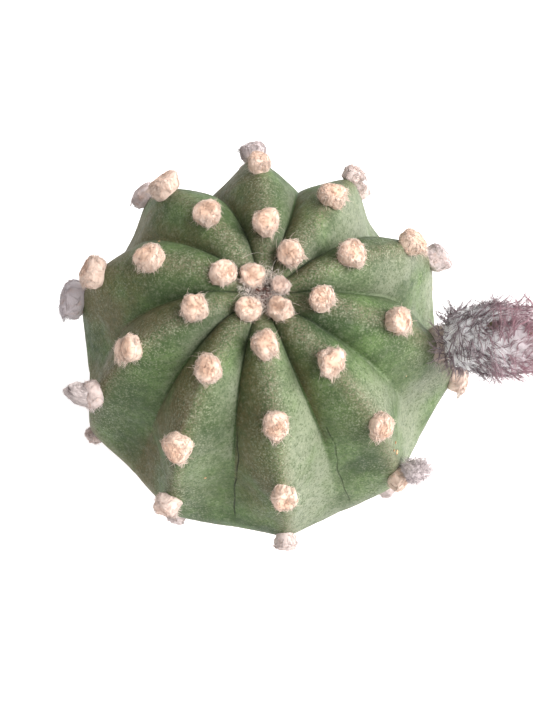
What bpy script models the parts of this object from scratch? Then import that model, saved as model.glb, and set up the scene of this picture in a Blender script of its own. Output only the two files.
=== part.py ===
"""Domino cactus in a plain clay pot.

A globe cactus with ten ribs stands in a small turned pot. Its ribs carry cushions of wool in place
of spines, and a woolly flower bud grows from one of them. Metres, +Z up, the origin at the middle
of the pot's underside. Rib 0 points to the back, +Y, and the ribs are counted clockwise from above.
"""
import math
import random

import bmesh
import bpy
import numpy as np
from mathutils import Matrix, Vector

MM = 0.001
CLEARANCE = 0.3 * MM

# Pot
POT_HEIGHT = 75 * MM
RIM_RADIUS = 42 * MM
FOOT_RADIUS = 29 * MM
WALL = 4.5 * MM
FLOOR = 6 * MM
BAND_HEIGHT = 17 * MM
BAND_STEP = 2.2 * MM
BAND_TAPER = 0.4 * MM
EDGE = 1.0 * MM
DRAIN_RADIUS = 3.5 * MM
DRAIN_CIRCLE = 15 * MM
DRAINS = 3
POT_STEPS = 40

# Soil
SOIL_TOP = POT_HEIGHT - 4 * MM
GRIT = 0.7 * MM
SOIL_STEPS = 48
SOIL_RINGS = 3
HOLLOW_STEPS = 4
HOLLOW_FLOOR = 1.5 * MM
FACET_GAP = 0.15 * MM

# Cactus body, measured from its equator
RIBS = 10
EQUATOR = SOIL_TOP + 29 * MM
GIRTH_RADIUS = 48 * MM
CROWN_HEIGHT = 38.5 * MM
FOOT_DEPTH = 35.3 * MM
CROWN_FULLNESS = 0.53
CROWN_FALL = 1.48
CROWN_DIP = 3.2 * MM
CROWN_DIP_ANGLE = 0.045
CROWN_SHIFT = (-0.4 * MM, -0.9 * MM)
CROWN_SHIFT_RADIUS = 14 * MM
FIRST_RIB = 97.0
RIB_WANDER = (-1.5, -1.5, -1, -0.5, -0.5, 0, 2.5, 3.5, 1, -1)
CROWN_TWIST = 9.0
TWIST_FADE = 1.4
# Depth of the valleys between the ribs: angle from the crown in degrees, depth in mm
VALLEY_DEPTH = ((0, 0), (8, 3.4), (14, 5.2), (24, 6.9), (40, 7.5), (60, 7.3), (90, 3.3), (106, 0.7),
                (130, 2.5), (150, 1.6), (165, 0), (180, 0))
# How far a rib's flanks are drawn in towards a sharp crest, by the same angle
RIB_EDGE = ((0, 0), (30, 0.45), (60, 0.95), (90, 0.85), (180, 0.85))
VALLEY_SHARE = (0.95, 1.2, 1.05, 0.9, 1.05, 0.9, 1.1, 1.0, 0.75, 0.95)
CREST_ROUNDING = 0.08
STEPS_PER_RIB = 8
BODY_RINGS = 26

# Wool cushions, one at each areole along a rib
FIRST_AREOLE = (14.1, 10, 3.9, 13.1, 6.2, 14.4, 6.2, 15.6, 9.5, 4.2)
AREOLE_SPACING = 16.0
SPACING_GROWTH = 1.6
# How far some areoles sit off that even spacing, in mm, by rib and number down the rib
AREOLE_SHIFT = {(0, 1): 2.0, (0, 2): -2.0, (4, 3): 3.5, (5, 3): 3.5, (6, 3): 2.0, (7, 3): 8.0, (8, 3): -1.5}
WOOL_ACROSS = 3.0 * MM
WOOL_ALONG = 3.2 * MM
WOOL_PROUD = 2.5 * MM
WOOL_LIFT = 1.2 * MM
WOOL_LEAST, WOOL_MOST = 0.88, 1.14
WOOL_BEARD = 0.45
# The beards hang this way, and this much down their rib
HANG = (0.12, -1.0, -0.3)
HANG_DOWN_RIB = 0.45
WOOL_OVER_RIM = 1.8
OLD_AREOLE = 4
OLD_WOOL = 0.8
WOOL_SIZES = {(2, 0): 0.75, (4, 0): 0.92, (6, 0): 0.9, (9, 0): 0.92, (0, 2): 1.2, (8, 3): 1.6, (9, 2): 1.25,
              (9, 3): 1.2, (8, 2): 1.15, (2, 3): 1.3, (3, 3): 1.25, (7, 3): 0.8}
WOOL_SEED = 7

# Taproot
ROOT_RADIUS = 6.5 * MM
ROOT_TIP_RADIUS = 2.5 * MM
ROOT_LENGTH = 28 * MM
ROOT_SUNK = 5 * MM

# Flower bud, on the third areole of rib 3
BUD_RIB = 3
BUD_AREOLE = 2
BUD_RISE = 38.0
BUD_TURN = -5.0
BUD_ASIDE = 2.8 * MM
SEAT_RADIUS = 5.0 * MM
SEAT_HEIGHT = 3.0 * MM
BUD_LENGTH = 26 * MM
BUD_RADIUS = 7.8 * MM
BUD_FOOT_RADIUS = 4.4 * MM
BUD_WIDEST = 0.38
BUD_STEPS = 12
BUD_RINGS = 9
SCALE_ROWS = 6
SCALES_PER_ROW = 9
TIP_SCALES = 5
FIRST_SCALES = 0.14
LAST_SCALES = 0.88
SCALE_LENGTH = 8.5 * MM
SCALE_WIDTH = 2.2 * MM
SCALE_TIP = 0.26 * MM
SCALE_THICKNESS = 1.2 * MM
SCALE_LEAN = 42.0
SCALE_SUNK = 1.6 * MM

# Young bud on the fourth areole of rib 4, withered flower on the third of rib 7
YOUNG_RIB, YOUNG_AREOLE = 4, 3
YOUNG_RADIUS = 2.7 * MM
YOUNG_LENGTH = 7.0 * MM
YOUNG_OFFSET = 4.0 * MM
YOUNG_LEAN = 1.2
YOUNG_RISE = 1.0
WITHERED_RIB, WITHERED_AREOLE = 7, 2
WITHERED_LENGTH = 7.5 * MM
WITHERED_RADIUS = 2.7 * MM
WITHERED_CURL = 90.0
WITHERED_TAPER = 0.2
WITHERED_LIFT = 1.0 * MM


def clear_scene():
    for obj in list(bpy.data.objects):
        bpy.data.objects.remove(obj, do_unlink=True)


def new_collection(name):
    collection = bpy.data.collections.new(name)
    bpy.context.scene.collection.children.link(collection)
    return collection


def new_object(name, mesh, collection):
    obj = bpy.data.objects.new(name, mesh)
    collection.objects.link(obj)
    return obj


def mesh_from(name, build):
    """A mesh filled by build(bm)."""
    bm = bmesh.new()
    build(bm)
    mesh = bpy.data.meshes.new(name)
    bm.to_mesh(mesh)
    bm.free()
    return mesh


def give_material(obj, name, colour, roughness):
    material = bpy.data.materials.new(name)
    material.use_nodes = True
    shader = material.node_tree.nodes["Principled BSDF"]
    shader.inputs["Base Color"].default_value = (*colour, 1)
    shader.inputs["Roughness"].default_value = roughness
    shader.inputs["Metallic"].default_value = 0
    obj.data.materials.append(material)


def shade_round(obj, angle=40):
    obj.data.shade_smooth()
    obj.data.set_sharp_from_angle(angle=math.radians(angle))


def apply_modifiers(obj):
    """Bake an object's modifiers into its mesh."""
    depsgraph = bpy.context.evaluated_depsgraph_get()
    evaluated = obj.evaluated_get(depsgraph)
    mesh = bpy.data.meshes.new_from_object(evaluated)
    obj.modifiers.clear()
    obj.data = mesh


def turned(name, profile, steps, collection):
    """A solid of revolution about Z. Its (radius, height) points start and end on the axis."""
    def outline(bm):
        verts = [bm.verts.new((radius, 0, height)) for radius, height in profile]
        for first, second in zip(verts, verts[1:]):
            bm.edges.new((first, second))
    obj = new_object(name, mesh_from(name, outline), collection)
    screw = obj.modifiers.new("turn", "SCREW")
    screw.steps = steps
    screw.render_steps = steps
    screw.use_merge_vertices = True
    screw.merge_threshold = 0.01 * MM
    apply_modifiers(obj)
    return obj


def join_all(obj, collection):
    """One Boolean union of an object with every object of a collection, which is then removed."""
    union = obj.modifiers.new("join", "BOOLEAN")
    union.operation = "UNION"
    union.operand_type = "COLLECTION"
    union.collection = collection
    union.solver = "EXACT"
    apply_modifiers(obj)
    for part in list(collection.objects):
        bpy.data.objects.remove(part, do_unlink=True)
    bpy.data.collections.remove(collection)
    keep_outer_skin(obj.data)


def keep_outer_skin(mesh):
    """Fill the hollows that a union seals, and drop its folded slivers.

    Of the surfaces whose triangles meet two by two at their edges, only the largest stays.
    """
    bm = bmesh.new()
    bm.from_mesh(mesh)
    bmesh.ops.triangulate(bm, faces=bm.faces, ngon_method="EAR_CLIP")
    left = set(bm.faces)
    skins = []
    while left:
        skin = [left.pop()]
        for face in skin:
            for edge in face.edges:
                for other in edge.link_faces:
                    if len(edge.link_faces) == 2 and other in left:
                        left.remove(other)
                        skin.append(other)
        skins.append(skin)
    skins.sort(key=len)
    inner = [face for skin in skins[:-1] for face in skin]
    bmesh.ops.delete(bm, geom=inner, context="FACES")
    bm.to_mesh(mesh)
    bm.free()


def stations(table, angle):
    """A value read from (degrees, value) stations, at an angle in radians."""
    degrees, values = zip(*table)
    return float(np.interp(math.degrees(angle), degrees, values))


def crest(angle):
    """A rib's crest line: radius from the axis and height above the equator, by angle from the crown."""
    sine, cosine = max(math.sin(angle), 0), math.cos(angle)
    dip = CROWN_DIP * math.exp(-(angle / CROWN_DIP_ANGLE) ** 2)
    if cosine > 0:
        return GIRTH_RADIUS * sine ** CROWN_FULLNESS, CROWN_HEIGHT * cosine ** CROWN_FALL - dip
    return GIRTH_RADIUS * sine, FOOT_DEPTH * cosine


def crest_normal(angle):
    """The outward normal of the crest line, as (radial, up)."""
    step = 0.001
    before, after = crest(max(angle - step, 0)), crest(min(angle + step, math.pi))
    along = (after[0] - before[0], after[1] - before[1])
    length = math.hypot(*along)
    return -along[1] / length, along[0] / length


def crest_lengths():
    """Angles from the crown to the foot, and the length of the crest line up to each."""
    angles = np.linspace(0, math.pi, 1500)
    points = np.array([crest(angle) for angle in angles])
    steps = np.hypot(*np.diff(points, axis=0).T)
    return angles, np.concatenate([[0], np.cumsum(steps)])


CREST_ANGLES, CREST_LENGTHS = crest_lengths()


def angle_at(length):
    return float(np.interp(length, CREST_LENGTHS, CREST_ANGLES))


def azimuth_at(turn, radius):
    """Azimuth in radians of a place counted in ribs clockwise, with the crown's slight twist."""
    rib = math.floor(turn)
    share = turn - rib
    wander = RIB_WANDER[rib % RIBS] * (1 - share) + RIB_WANDER[(rib + 1) % RIBS] * share
    twist = CROWN_TWIST * max(1 - radius / GIRTH_RADIUS, 0) ** TWIST_FADE
    return math.radians(FIRST_RIB - 360 / RIBS * turn + wander - twist)


def place(radius, height, azimuth):
    """A point of the plant from its radius, height above the equator and azimuth."""
    shift = math.exp(-(radius / CROWN_SHIFT_RADIUS) ** 2)
    return Vector((radius * math.cos(azimuth) + CROWN_SHIFT[0] * shift,
                   radius * math.sin(azimuth) + CROWN_SHIFT[1] * shift,
                   EQUATOR + height))


def body_point(angle, turn):
    """A point of the ribbed skin, by angle from the crown and place counted in ribs."""
    radius, height = crest(angle)
    rib = math.floor(turn) % RIBS
    towards_valley = 1 - abs(2 * (turn - math.floor(turn)) - 1)
    rounded = math.sqrt(towards_valley ** 2 + CREST_ROUNDING ** 2) - CREST_ROUNDING
    rounded /= math.sqrt(1 + CREST_ROUNDING ** 2) - CREST_ROUNDING
    edge = stations(RIB_EDGE, angle)
    fall = (1 - edge) * (1 - math.cos(rounded * math.pi / 2)) + edge * math.sin(rounded * math.pi / 2)
    depth = stations(VALLEY_DEPTH, angle) * MM * VALLEY_SHARE[rib] * fall
    outward, up = crest_normal(angle)
    return place(max(radius - outward * depth, 0), height - up * depth, azimuth_at(turn, radius))


def areole_frame(rib, number):
    """Centre and axes of an areole: point on the crest, normal, down the rib, and across it."""
    length = FIRST_AREOLE[rib] + AREOLE_SPACING * number + SPACING_GROWTH * number * (number - 1) / 2
    angle = angle_at((length + AREOLE_SHIFT.get((rib, number), 0)) * MM)
    radius, height = crest(angle)
    azimuth = azimuth_at(rib, radius)
    outward, up = crest_normal(angle)
    radial = Vector((math.cos(azimuth), math.sin(azimuth), 0))
    normal = (radial * outward + Vector((0, 0, up))).normalized()
    across = Vector((-math.sin(azimuth), math.cos(azimuth), 0))
    down = across.cross(normal)
    return place(radius, height, azimuth), normal, down, across, height


def ball(name, segments, rings, shape, collection):
    """A UV sphere whose every vertex is moved by shape(direction)."""
    def build(bm):
        bmesh.ops.create_uvsphere(bm, u_segments=segments, v_segments=rings, radius=1)
        for vert in bm.verts:
            vert.co = shape(vert.co.normalized())
        bmesh.ops.recalc_face_normals(bm, faces=bm.faces)
    return new_object(name, mesh_from(name, build), collection)


def wool_cushion(name, frame, size, collection, chance):
    """One areole's wool: a low cushion drawn out into points, longest where its beard hangs."""
    centre, normal, down, *_ = frame
    hang = Vector(HANG).normalized() + down * HANG_DOWN_RIB
    hang = (hang - normal * hang.dot(normal)).normalized()
    across = normal.cross(hang)

    def shape(direction):
        reach = chance.uniform(WOOL_LEAST, WOOL_MOST)
        if direction.x > 0.5 and direction.z > -0.3:
            reach += WOOL_BEARD * chance.random() * direction.x
        offset = (hang * direction.x * WOOL_ALONG + across * direction.y * WOOL_ACROSS
                  + normal * direction.z * WOOL_PROUD)
        return centre + normal * WOOL_LIFT * size + offset * reach * size
    return ball(name, 9, 5, shape, collection)


def bud_axis():
    """Foot of the bud, a little beside its areole's crest, and the direction it grows in."""
    centre, normal, _, across, _ = areole_frame(BUD_RIB, BUD_AREOLE)
    flat = Vector((normal.x, normal.y, 0)).normalized()
    flat.rotate(Matrix.Rotation(math.radians(BUD_TURN), 3, "Z"))
    rise = math.radians(BUD_RISE)
    return centre + across * BUD_ASIDE, flat * math.cos(rise) + Vector((0, 0, math.sin(rise)))


def bud_seat(collection):
    """The wool under the flower bud, pressed flat where the bud stands on it."""
    centre, axis = bud_axis()

    def shape(direction):
        point = direction * SEAT_RADIUS
        over = point.dot(axis) - SEAT_HEIGHT
        return centre + point - axis * max(over, 0)
    return ball("seat", 12, 8, shape, collection)


def young_bud(collection, chance):
    """A woolly egg that grows out of the side of its areole."""
    centre, normal, down, across, _ = areole_frame(YOUNG_RIB, YOUNG_AREOLE)
    way = (normal + across * YOUNG_LEAN - down * YOUNG_RISE).normalized()
    middle = centre + way * YOUNG_OFFSET

    def shape(direction):
        reach = direction * YOUNG_RADIUS + way * direction.dot(way) * (YOUNG_LENGTH / 2 - YOUNG_RADIUS)
        return middle + reach * chance.uniform(WOOL_LEAST, WOOL_MOST)
    return ball("young", 9, 6, shape, collection)


def withered_flower(collection):
    """The dry stub of an old bud: a thin tube that curls aside from its areole."""
    centre, normal, down, across, _ = areole_frame(WITHERED_RIB, WITHERED_AREOLE)
    curl = math.radians(WITHERED_CURL)
    bend_radius = WITHERED_LENGTH / curl

    def shape(direction):
        along = (direction.z + 1) / 2
        turn = along * curl
        spine = normal * math.sin(turn) * bend_radius - across * (1 - math.cos(turn)) * bend_radius
        side = normal * math.sin(turn) + across * math.cos(turn)
        thick = WITHERED_RADIUS * (1 - WITHERED_TAPER * along)
        return centre + normal * WITHERED_LIFT + spine + (down * direction.x + side * direction.y) * thick
    return ball("withered", 8, 8, shape, collection)


def taproot(collection):
    def build(bm):
        bmesh.ops.create_cone(bm, cap_ends=True, segments=12, radius1=ROOT_TIP_RADIUS,
                              radius2=ROOT_RADIUS, depth=ROOT_LENGTH)
        bmesh.ops.translate(bm, verts=bm.verts, vec=(0, 0, root_top() - ROOT_LENGTH / 2))
    return new_object("root", mesh_from("root", build), collection)


def root_top():
    return EQUATOR - FOOT_DEPTH + ROOT_SUNK


def cactus_body(collection):
    """The ribbed body with its wool, taproot, young bud and withered flower, grown as one piece."""
    bpy.ops.mesh.primitive_uv_sphere_add(segments=RIBS * STEPS_PER_RIB, ring_count=BODY_RINGS)
    body = bpy.context.object
    body.name = "cactus_body"
    body.data.name = "cactus_body"
    for owner in list(body.users_collection):
        owner.objects.unlink(body)
    collection.objects.link(body)
    for vert in body.data.vertices:
        polar = math.acos(max(-1, min(1, vert.co.z)))
        angle = angle_at(CREST_LENGTHS[-1] * polar / math.pi)
        step = round(math.atan2(vert.co.y, vert.co.x) / math.tau * RIBS * STEPS_PER_RIB)
        vert.co = body_point(angle, -step / STEPS_PER_RIB)

    grown = new_collection("grown")
    chance = random.Random(WOOL_SEED)
    lowest = POT_HEIGHT - EQUATOR + WOOL_OVER_RIM * WOOL_ALONG
    for rib in range(RIBS):
        number = 0
        frame = areole_frame(rib, number)
        while frame[-1] > lowest:
            if (rib, number) == (BUD_RIB, BUD_AREOLE):
                bud_seat(grown)
            else:
                size = OLD_WOOL if number >= OLD_AREOLE else chance.uniform(0.94, 1.06)
                size = WOOL_SIZES.get((rib, number), size)
                wool_cushion(f"wool_{rib}_{number}", frame, size, grown, chance)
            number += 1
            frame = areole_frame(rib, number)
    young_bud(grown, chance)
    withered_flower(grown)
    taproot(grown)
    join_all(body, grown)
    shade_round(body)
    give_material(body, "green_skin", (0.16, 0.25, 0.11), 0.6)
    return body


def bud_radius(share):
    """Radius of the bud at a share of its length: blunt at its foot, rounded at its tip."""
    if share < BUD_WIDEST:
        swell = math.sqrt(1 - (1 - share / BUD_WIDEST) ** 2)
        return BUD_FOOT_RADIUS + (BUD_RADIUS - BUD_FOOT_RADIUS) * swell
    return BUD_RADIUS * (1 - ((share - BUD_WIDEST) / (1 - BUD_WIDEST)) ** 2.4) ** 0.6


def bud_profile():
    """Half outline of the bud's tube, from its tip down to its foot."""
    shares = [1 - step / BUD_RINGS for step in range(1, BUD_RINGS)]
    rings = [(bud_radius(share), BUD_LENGTH * share) for share in shares]
    return [(0, BUD_LENGTH), *rings, (BUD_FOOT_RADIUS, 0), (0, 0)]


def bud_scale(collection, radius, height, lean, turn):
    """One woolly scale, a flat point rooted in the bud's skin and leaning out towards its tip."""
    def build(bm):
        bmesh.ops.create_cone(bm, cap_ends=True, segments=4, radius1=SCALE_WIDTH,
                              radius2=SCALE_TIP, depth=SCALE_LENGTH)
        flatten = Matrix.Diagonal((1, SCALE_THICKNESS / SCALE_WIDTH, 1, 1))
        lift = Matrix.Translation((0, 0, SCALE_LENGTH / 2 - SCALE_SUNK))
        face_out = Matrix.Rotation(math.pi / 2, 4, "Z")
        root = Matrix.Translation((max(radius - SCALE_SUNK, 0), 0, height))
        bm.transform(Matrix.Rotation(turn, 4, "Z") @ root @ Matrix.Rotation(lean, 4, "Y")
                     @ face_out @ lift @ flatten)
    new_object("scale", mesh_from("scale", build), collection)


def flower_bud(collection):
    """The bud's tube with its rows of overlapping woolly scales, standing 0.3 mm off its areole."""
    profile = bud_profile()
    bud = turned("flower_bud", profile, BUD_STEPS, collection)
    heights = [height for _, height in reversed(profile)]
    radii = [radius for radius, _ in reversed(profile)]
    scales = new_collection("scales")
    for row in range(SCALE_ROWS):
        share = FIRST_SCALES + (LAST_SCALES - FIRST_SCALES) * row / (SCALE_ROWS - 1)
        radius = float(np.interp(BUD_LENGTH * share, heights[1:], radii[1:]))
        count = SCALES_PER_ROW if row < SCALE_ROWS - 1 else TIP_SCALES
        for number in range(count):
            turn = math.tau * (number + 0.5 * (row % 2)) / count
            bud_scale(scales, radius, BUD_LENGTH * share, math.radians(SCALE_LEAN * (1.25 - share)), turn)
    join_all(bud, scales)
    centre, axis = bud_axis()
    foot = centre + axis * (SEAT_HEIGHT + CLEARANCE)
    pose = Matrix.Translation(foot) @ axis.to_track_quat("Z", "Y").to_matrix().to_4x4()
    bud.matrix_world = pose
    shade_round(bud)
    give_material(bud, "bud_wool", (0.32, 0.26, 0.28), 0.9)
    return bud


def pot_wall_radius(height):
    """Outer radius of the pot's tapered wall below the rim band."""
    top = RIM_RADIUS - BAND_STEP
    return FOOT_RADIUS + (top - FOOT_RADIUS) * height / (POT_HEIGHT - BAND_HEIGHT)


def pot_inner_radius(height):
    """Inner radius of the pot at a height above its floor."""
    foot = FOOT_RADIUS - WALL
    return foot + (RIM_RADIUS - WALL - foot) * (height - FLOOR) / (POT_HEIGHT - FLOOR)


def clay_pot(collection, cutters):
    """A turned clay pot with a rim band and three drainage holes round a flat underside."""
    band_bottom = POT_HEIGHT - BAND_HEIGHT
    inside = [(0, FLOOR), (pot_inner_radius(FLOOR) - EDGE, FLOOR),
              (pot_inner_radius(FLOOR + EDGE), FLOOR + EDGE), (RIM_RADIUS - WALL, POT_HEIGHT - EDGE)]
    rim = [(RIM_RADIUS - WALL + EDGE, POT_HEIGHT), (RIM_RADIUS - EDGE, POT_HEIGHT),
           (RIM_RADIUS, POT_HEIGHT - EDGE), (RIM_RADIUS - BAND_TAPER, band_bottom + EDGE),
           (RIM_RADIUS - EDGE, band_bottom)]
    outside = [(pot_wall_radius(band_bottom), band_bottom), (pot_wall_radius(EDGE), EDGE),
               (FOOT_RADIUS - EDGE, 0), (0, 0)]
    profile = inside + rim + outside
    pot = turned("pot", profile, POT_STEPS, collection)
    for number in range(DRAINS):
        def build(bm):
            bmesh.ops.create_cone(bm, cap_ends=True, segments=20, radius1=DRAIN_RADIUS,
                                  radius2=DRAIN_RADIUS, depth=FLOOR * 2)
        cutter = new_object(f"drain_{number}", mesh_from("drain", build), cutters)
        turn = math.tau * (number + 0.25) / DRAINS
        cutter.location = (DRAIN_CIRCLE * math.cos(turn), DRAIN_CIRCLE * math.sin(turn), FLOOR / 2)
        cutter.hide_render = True
        cutter.display_type = "WIRE"
        hole = pot.modifiers.new(f"drain_{number}", "BOOLEAN")
        hole.operation = "DIFFERENCE"
        hole.object = cutter
    shade_round(pot, 30)
    give_material(pot, "clay", (0.55, 0.27, 0.16), 0.85)
    return pot


def soil(collection):
    """The gritty soil that fills the pot, with a plain hollow and hole for the plant."""
    outer_top = pot_inner_radius(SOIL_TOP) - CLEARANCE
    bottom = FLOOR + CLEARANCE
    outer_bottom = pot_inner_radius(bottom) - EDGE - CLEARANCE
    gap = CLEARANCE + FACET_GAP
    hole_radius = ROOT_RADIUS + gap
    hole_bottom = root_top() - ROOT_LENGTH - CLEARANCE
    hole = [(0, hole_bottom), (hole_radius, hole_bottom), (hole_radius, EQUATOR - FOOT_DEPTH - gap)]
    hollow = []
    for step in range(HOLLOW_STEPS + 1):
        share = step / HOLLOW_STEPS
        height = (SOIL_TOP - EQUATOR) * share - (FOOT_DEPTH - HOLLOW_FLOOR) * (1 - share)
        radius = GIRTH_RADIUS * math.sqrt(1 - (height / FOOT_DEPTH) ** 2)
        hollow.append((radius + gap, EQUATOR + height - gap * (1 - share)))
    mouth = hollow[-1][0]
    top = [(mouth + (outer_top - mouth) * ring / SOIL_RINGS, SOIL_TOP) for ring in range(1, SOIL_RINGS + 1)]
    profile = [*hole, *hollow, *top, (outer_bottom, bottom), (0, bottom)]
    ground = turned("soil", profile, SOIL_STEPS, collection)
    chance = random.Random(WOOL_SEED)
    for vert in ground.data.vertices:
        radius = math.hypot(vert.co.x, vert.co.y)
        if vert.co.z > SOIL_TOP - FACET_GAP and mouth + FACET_GAP < radius < outer_top - FACET_GAP:
            vert.co.z += chance.uniform(-1, 1) * GRIT
    give_material(ground, "soil", (0.09, 0.06, 0.045), 0.95)
    return ground


def main():
    clear_scene()
    parts = new_collection("potted_echinopsis_cactus")
    cutters = new_collection("cutters")
    clay_pot(parts, cutters)
    soil(parts)
    cactus_body(parts)
    flower_bud(parts)


main()
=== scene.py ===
import math
from collections import namedtuple

import bpy
import numpy as np
from mathutils import Matrix, Vector, noise


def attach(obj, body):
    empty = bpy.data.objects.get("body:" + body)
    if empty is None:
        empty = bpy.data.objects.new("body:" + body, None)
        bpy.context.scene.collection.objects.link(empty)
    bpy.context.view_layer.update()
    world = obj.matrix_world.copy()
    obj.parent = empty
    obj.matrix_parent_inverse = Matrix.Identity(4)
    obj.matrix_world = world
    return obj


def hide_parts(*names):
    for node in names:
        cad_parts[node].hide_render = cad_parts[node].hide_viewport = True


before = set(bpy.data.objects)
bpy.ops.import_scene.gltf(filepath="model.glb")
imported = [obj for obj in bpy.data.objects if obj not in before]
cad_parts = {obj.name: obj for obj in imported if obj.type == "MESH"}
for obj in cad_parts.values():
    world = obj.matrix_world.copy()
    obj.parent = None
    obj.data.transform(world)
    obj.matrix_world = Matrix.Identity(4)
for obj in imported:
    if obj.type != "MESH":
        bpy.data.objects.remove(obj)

# Camera. It looks down on the plant from close in front, as the photograph does, turned slightly
# from the middle of the plant. Nothing of the pot shows in this view.
MM = 0.001
EQUATOR = 100 * MM
LENS = 37.77
CAMERA_DISTANCE = 192 * MM
CAMERA_RISE = 70.17
CAMERA_TILT = -0.82
CAMERA_PAN = -0.2
CAMERA_ROLL = 0.95
SENSOR_WIDTH = 36
NEAREST, FURTHEST = 0.01, 20
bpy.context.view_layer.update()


def camera_axes():
    """The camera's right, up and back directions, as the columns of a matrix."""
    rise = math.radians(CAMERA_RISE)
    right = Vector((1, 0, 0))
    back = Vector((0, -math.cos(rise), math.sin(rise)))
    axes = Matrix((right, back.cross(right), back)).transposed()
    for angle, column in ((CAMERA_TILT, 0), (CAMERA_PAN, 1), (CAMERA_ROLL, 2)):
        axes = Matrix.Rotation(math.radians(angle), 3, axes.col[column]) @ axes
    return axes


axes = camera_axes()
rise = math.radians(CAMERA_RISE)
camera_place = Vector((0, -CAMERA_DISTANCE * math.cos(rise), EQUATOR + CAMERA_DISTANCE * math.sin(rise)))
bpy.ops.object.camera_add(location=camera_place, rotation=axes.to_euler())
camera = bpy.context.object
camera.data.lens = LENS
camera.data.sensor_width = SENSOR_WIDTH
camera.data.clip_start = NEAREST
camera.data.clip_end = FURTHEST
bpy.context.scene.camera = camera
bpy.context.scene.view_settings.view_transform = "Standard"

# Studio. A white floor that glows a little, as a light table does, in white surroundings, and one
# large soft light from the right, so flanks that face left are darker and hardly any shadow shows.
SURROUNDINGS = 0.52
BACKDROP = 0.90
KEY_POWER = 16
KEY_SIZE = 0.7
KEY_STAND = (0.62, -0.10, 0.80)
FLOOR_SIZE = 12
FLOOR_COLOUR = (0.93, 0.93, 0.93)
FLOOR_GLOW = 0.60


def add_node(kind, inputs, **settings):
    """A new node with its settings, in the tree of the sockets that are linked to its inputs."""
    sockets = [value for value in inputs.values() if isinstance(value, bpy.types.NodeSocket)]
    tree = sockets[0].id_data
    new = tree.nodes.new(kind)
    for name, value in settings.items():
        setattr(new, name, value)
    for name, value in inputs.items():
        if isinstance(value, bpy.types.NodeSocket):
            tree.links.new(value, new.inputs[name])
        else:
            new.inputs[name].default_value = value
    return new


def new_material(name, roughness, **constants):
    """A material, its shader and its object coordinates."""
    material = bpy.data.materials.new(name)
    material.use_nodes = True
    shader = material.node_tree.nodes["Principled BSDF"]
    shader.inputs["Roughness"].default_value = roughness
    for socket, value in constants.items():
        shader.inputs[socket.replace("_", " ")].default_value = value
    return material, shader, material.node_tree.nodes.new("ShaderNodeTexCoord").outputs["Object"]


def rough(coords, scale, detail=3.0, roughness=0.55, distortion=0.0):
    """Noise from 0 to 1."""
    inputs = {"Vector": coords, "Scale": scale, "Detail": detail, "Roughness": roughness,
              "Distortion": distortion}
    return add_node("ShaderNodeTexNoise", inputs).outputs["Fac"]


def ramp(value, start, end, low=0.0, high=1.0):
    """A soft step from low at start to high at end."""
    inputs = {"Value": value, "From Min": start, "From Max": end, "To Min": low, "To Max": high}
    return add_node("ShaderNodeMapRange", inputs, interpolation_type="SMOOTHSTEP").outputs["Result"]


def blended(share, first, second):
    """Two colours mixed by share."""
    colours = [(*c, 1) if isinstance(c, tuple) else c for c in (first, second)]
    return add_node("ShaderNodeMix", {0: share, 6: colours[0], 7: colours[1]}, data_type="RGBA").outputs[2]


def painted(shader, value, socket="Base Color"):
    """Feed a colour or another value into the shader."""
    shader.id_data.links.new(value, shader.inputs[socket])


def soft_light(stand, size, power):
    aim = Vector((0, 0, EQUATOR)) - Vector(stand)
    bpy.ops.object.light_add(type="AREA", location=stand, rotation=aim.to_track_quat("-Z", "Y").to_euler())
    lamp = bpy.context.object
    lamp.data.size = size
    lamp.data.energy = power


surroundings = bpy.data.worlds.new("surroundings")
surroundings.use_nodes = True
seen = surroundings.node_tree.nodes.new("ShaderNodeLightPath").outputs["Is Camera Ray"]
backdrop = surroundings.node_tree.nodes["Background"]
backdrop.inputs["Color"].default_value = (1, 1, 1, 1)
painted(backdrop, ramp(seen, 0, 1, SURROUNDINGS, BACKDROP), "Strength")
bpy.context.scene.world = surroundings
soft_light(KEY_STAND, KEY_SIZE, KEY_POWER)
bpy.ops.mesh.primitive_plane_add(size=FLOOR_SIZE)
floor = bpy.context.object
floor.name = "studio_floor"
paper, shader, coords = new_material("paper", 0.9, Emission_Color=(1, 1, 1, 1), Emission_Strength=FLOOR_GLOW)
paleness = blended(rough(coords, 3.0), FLOOR_COLOUR, tuple(0.98 * c for c in FLOOR_COLOUR))
painted(shader, paleness)
floor.data.materials.append(paper)

# Pot. A small flowerpot of red clay, turned on a wheel, with a rim band and three drainage holes
# pushed through its foot. It is unglazed, and lime from the water has bloomed on its outside.
POT_HEIGHT = 75 * MM
RIM_RADIUS = 42 * MM
FOOT_RADIUS = 29 * MM
WALL = 4.5 * MM
FLOOR_THICKNESS = 6 * MM
BAND_HEIGHT = 17 * MM
BAND_STEP = 2.2 * MM
LIP = 1.3 * MM
WALL_RINGS = 26
BAND_RINGS = 9
POT_STEPS = 144
DRAIN_RADIUS = 3.5 * MM
DRAIN_CIRCLE = 15 * MM
DRAINS = 3
DRAIN_STEPS = 40
THROWING_RING = 0.09 * MM
THROWING_PITCH = 2.6 * MM
OUT_OF_ROUND = 0.22 * MM
SAG_SIZE = 30 * MM
DENT_SIZE = 5 * MM
DAMP_BELOW, SOAKED_BELOW = 20 * MM, 4 * MM
CLAY_RED = (0.47, 0.19, 0.095)
CLAY_PALE = (0.58, 0.29, 0.17)
CLAY_DARK = (0.30, 0.11, 0.055)
LIME = (0.66, 0.58, 0.50)


def select_only(*objects):
    bpy.ops.object.select_all(action="DESELECT")
    for obj in objects:
        obj.select_set(True)
    bpy.context.view_layer.objects.active = objects[0]


def points_of(mesh):
    points = np.zeros(len(mesh.vertices) * 3)
    mesh.vertices.foreach_get("co", points)
    return points.reshape(-1, 3)


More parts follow.
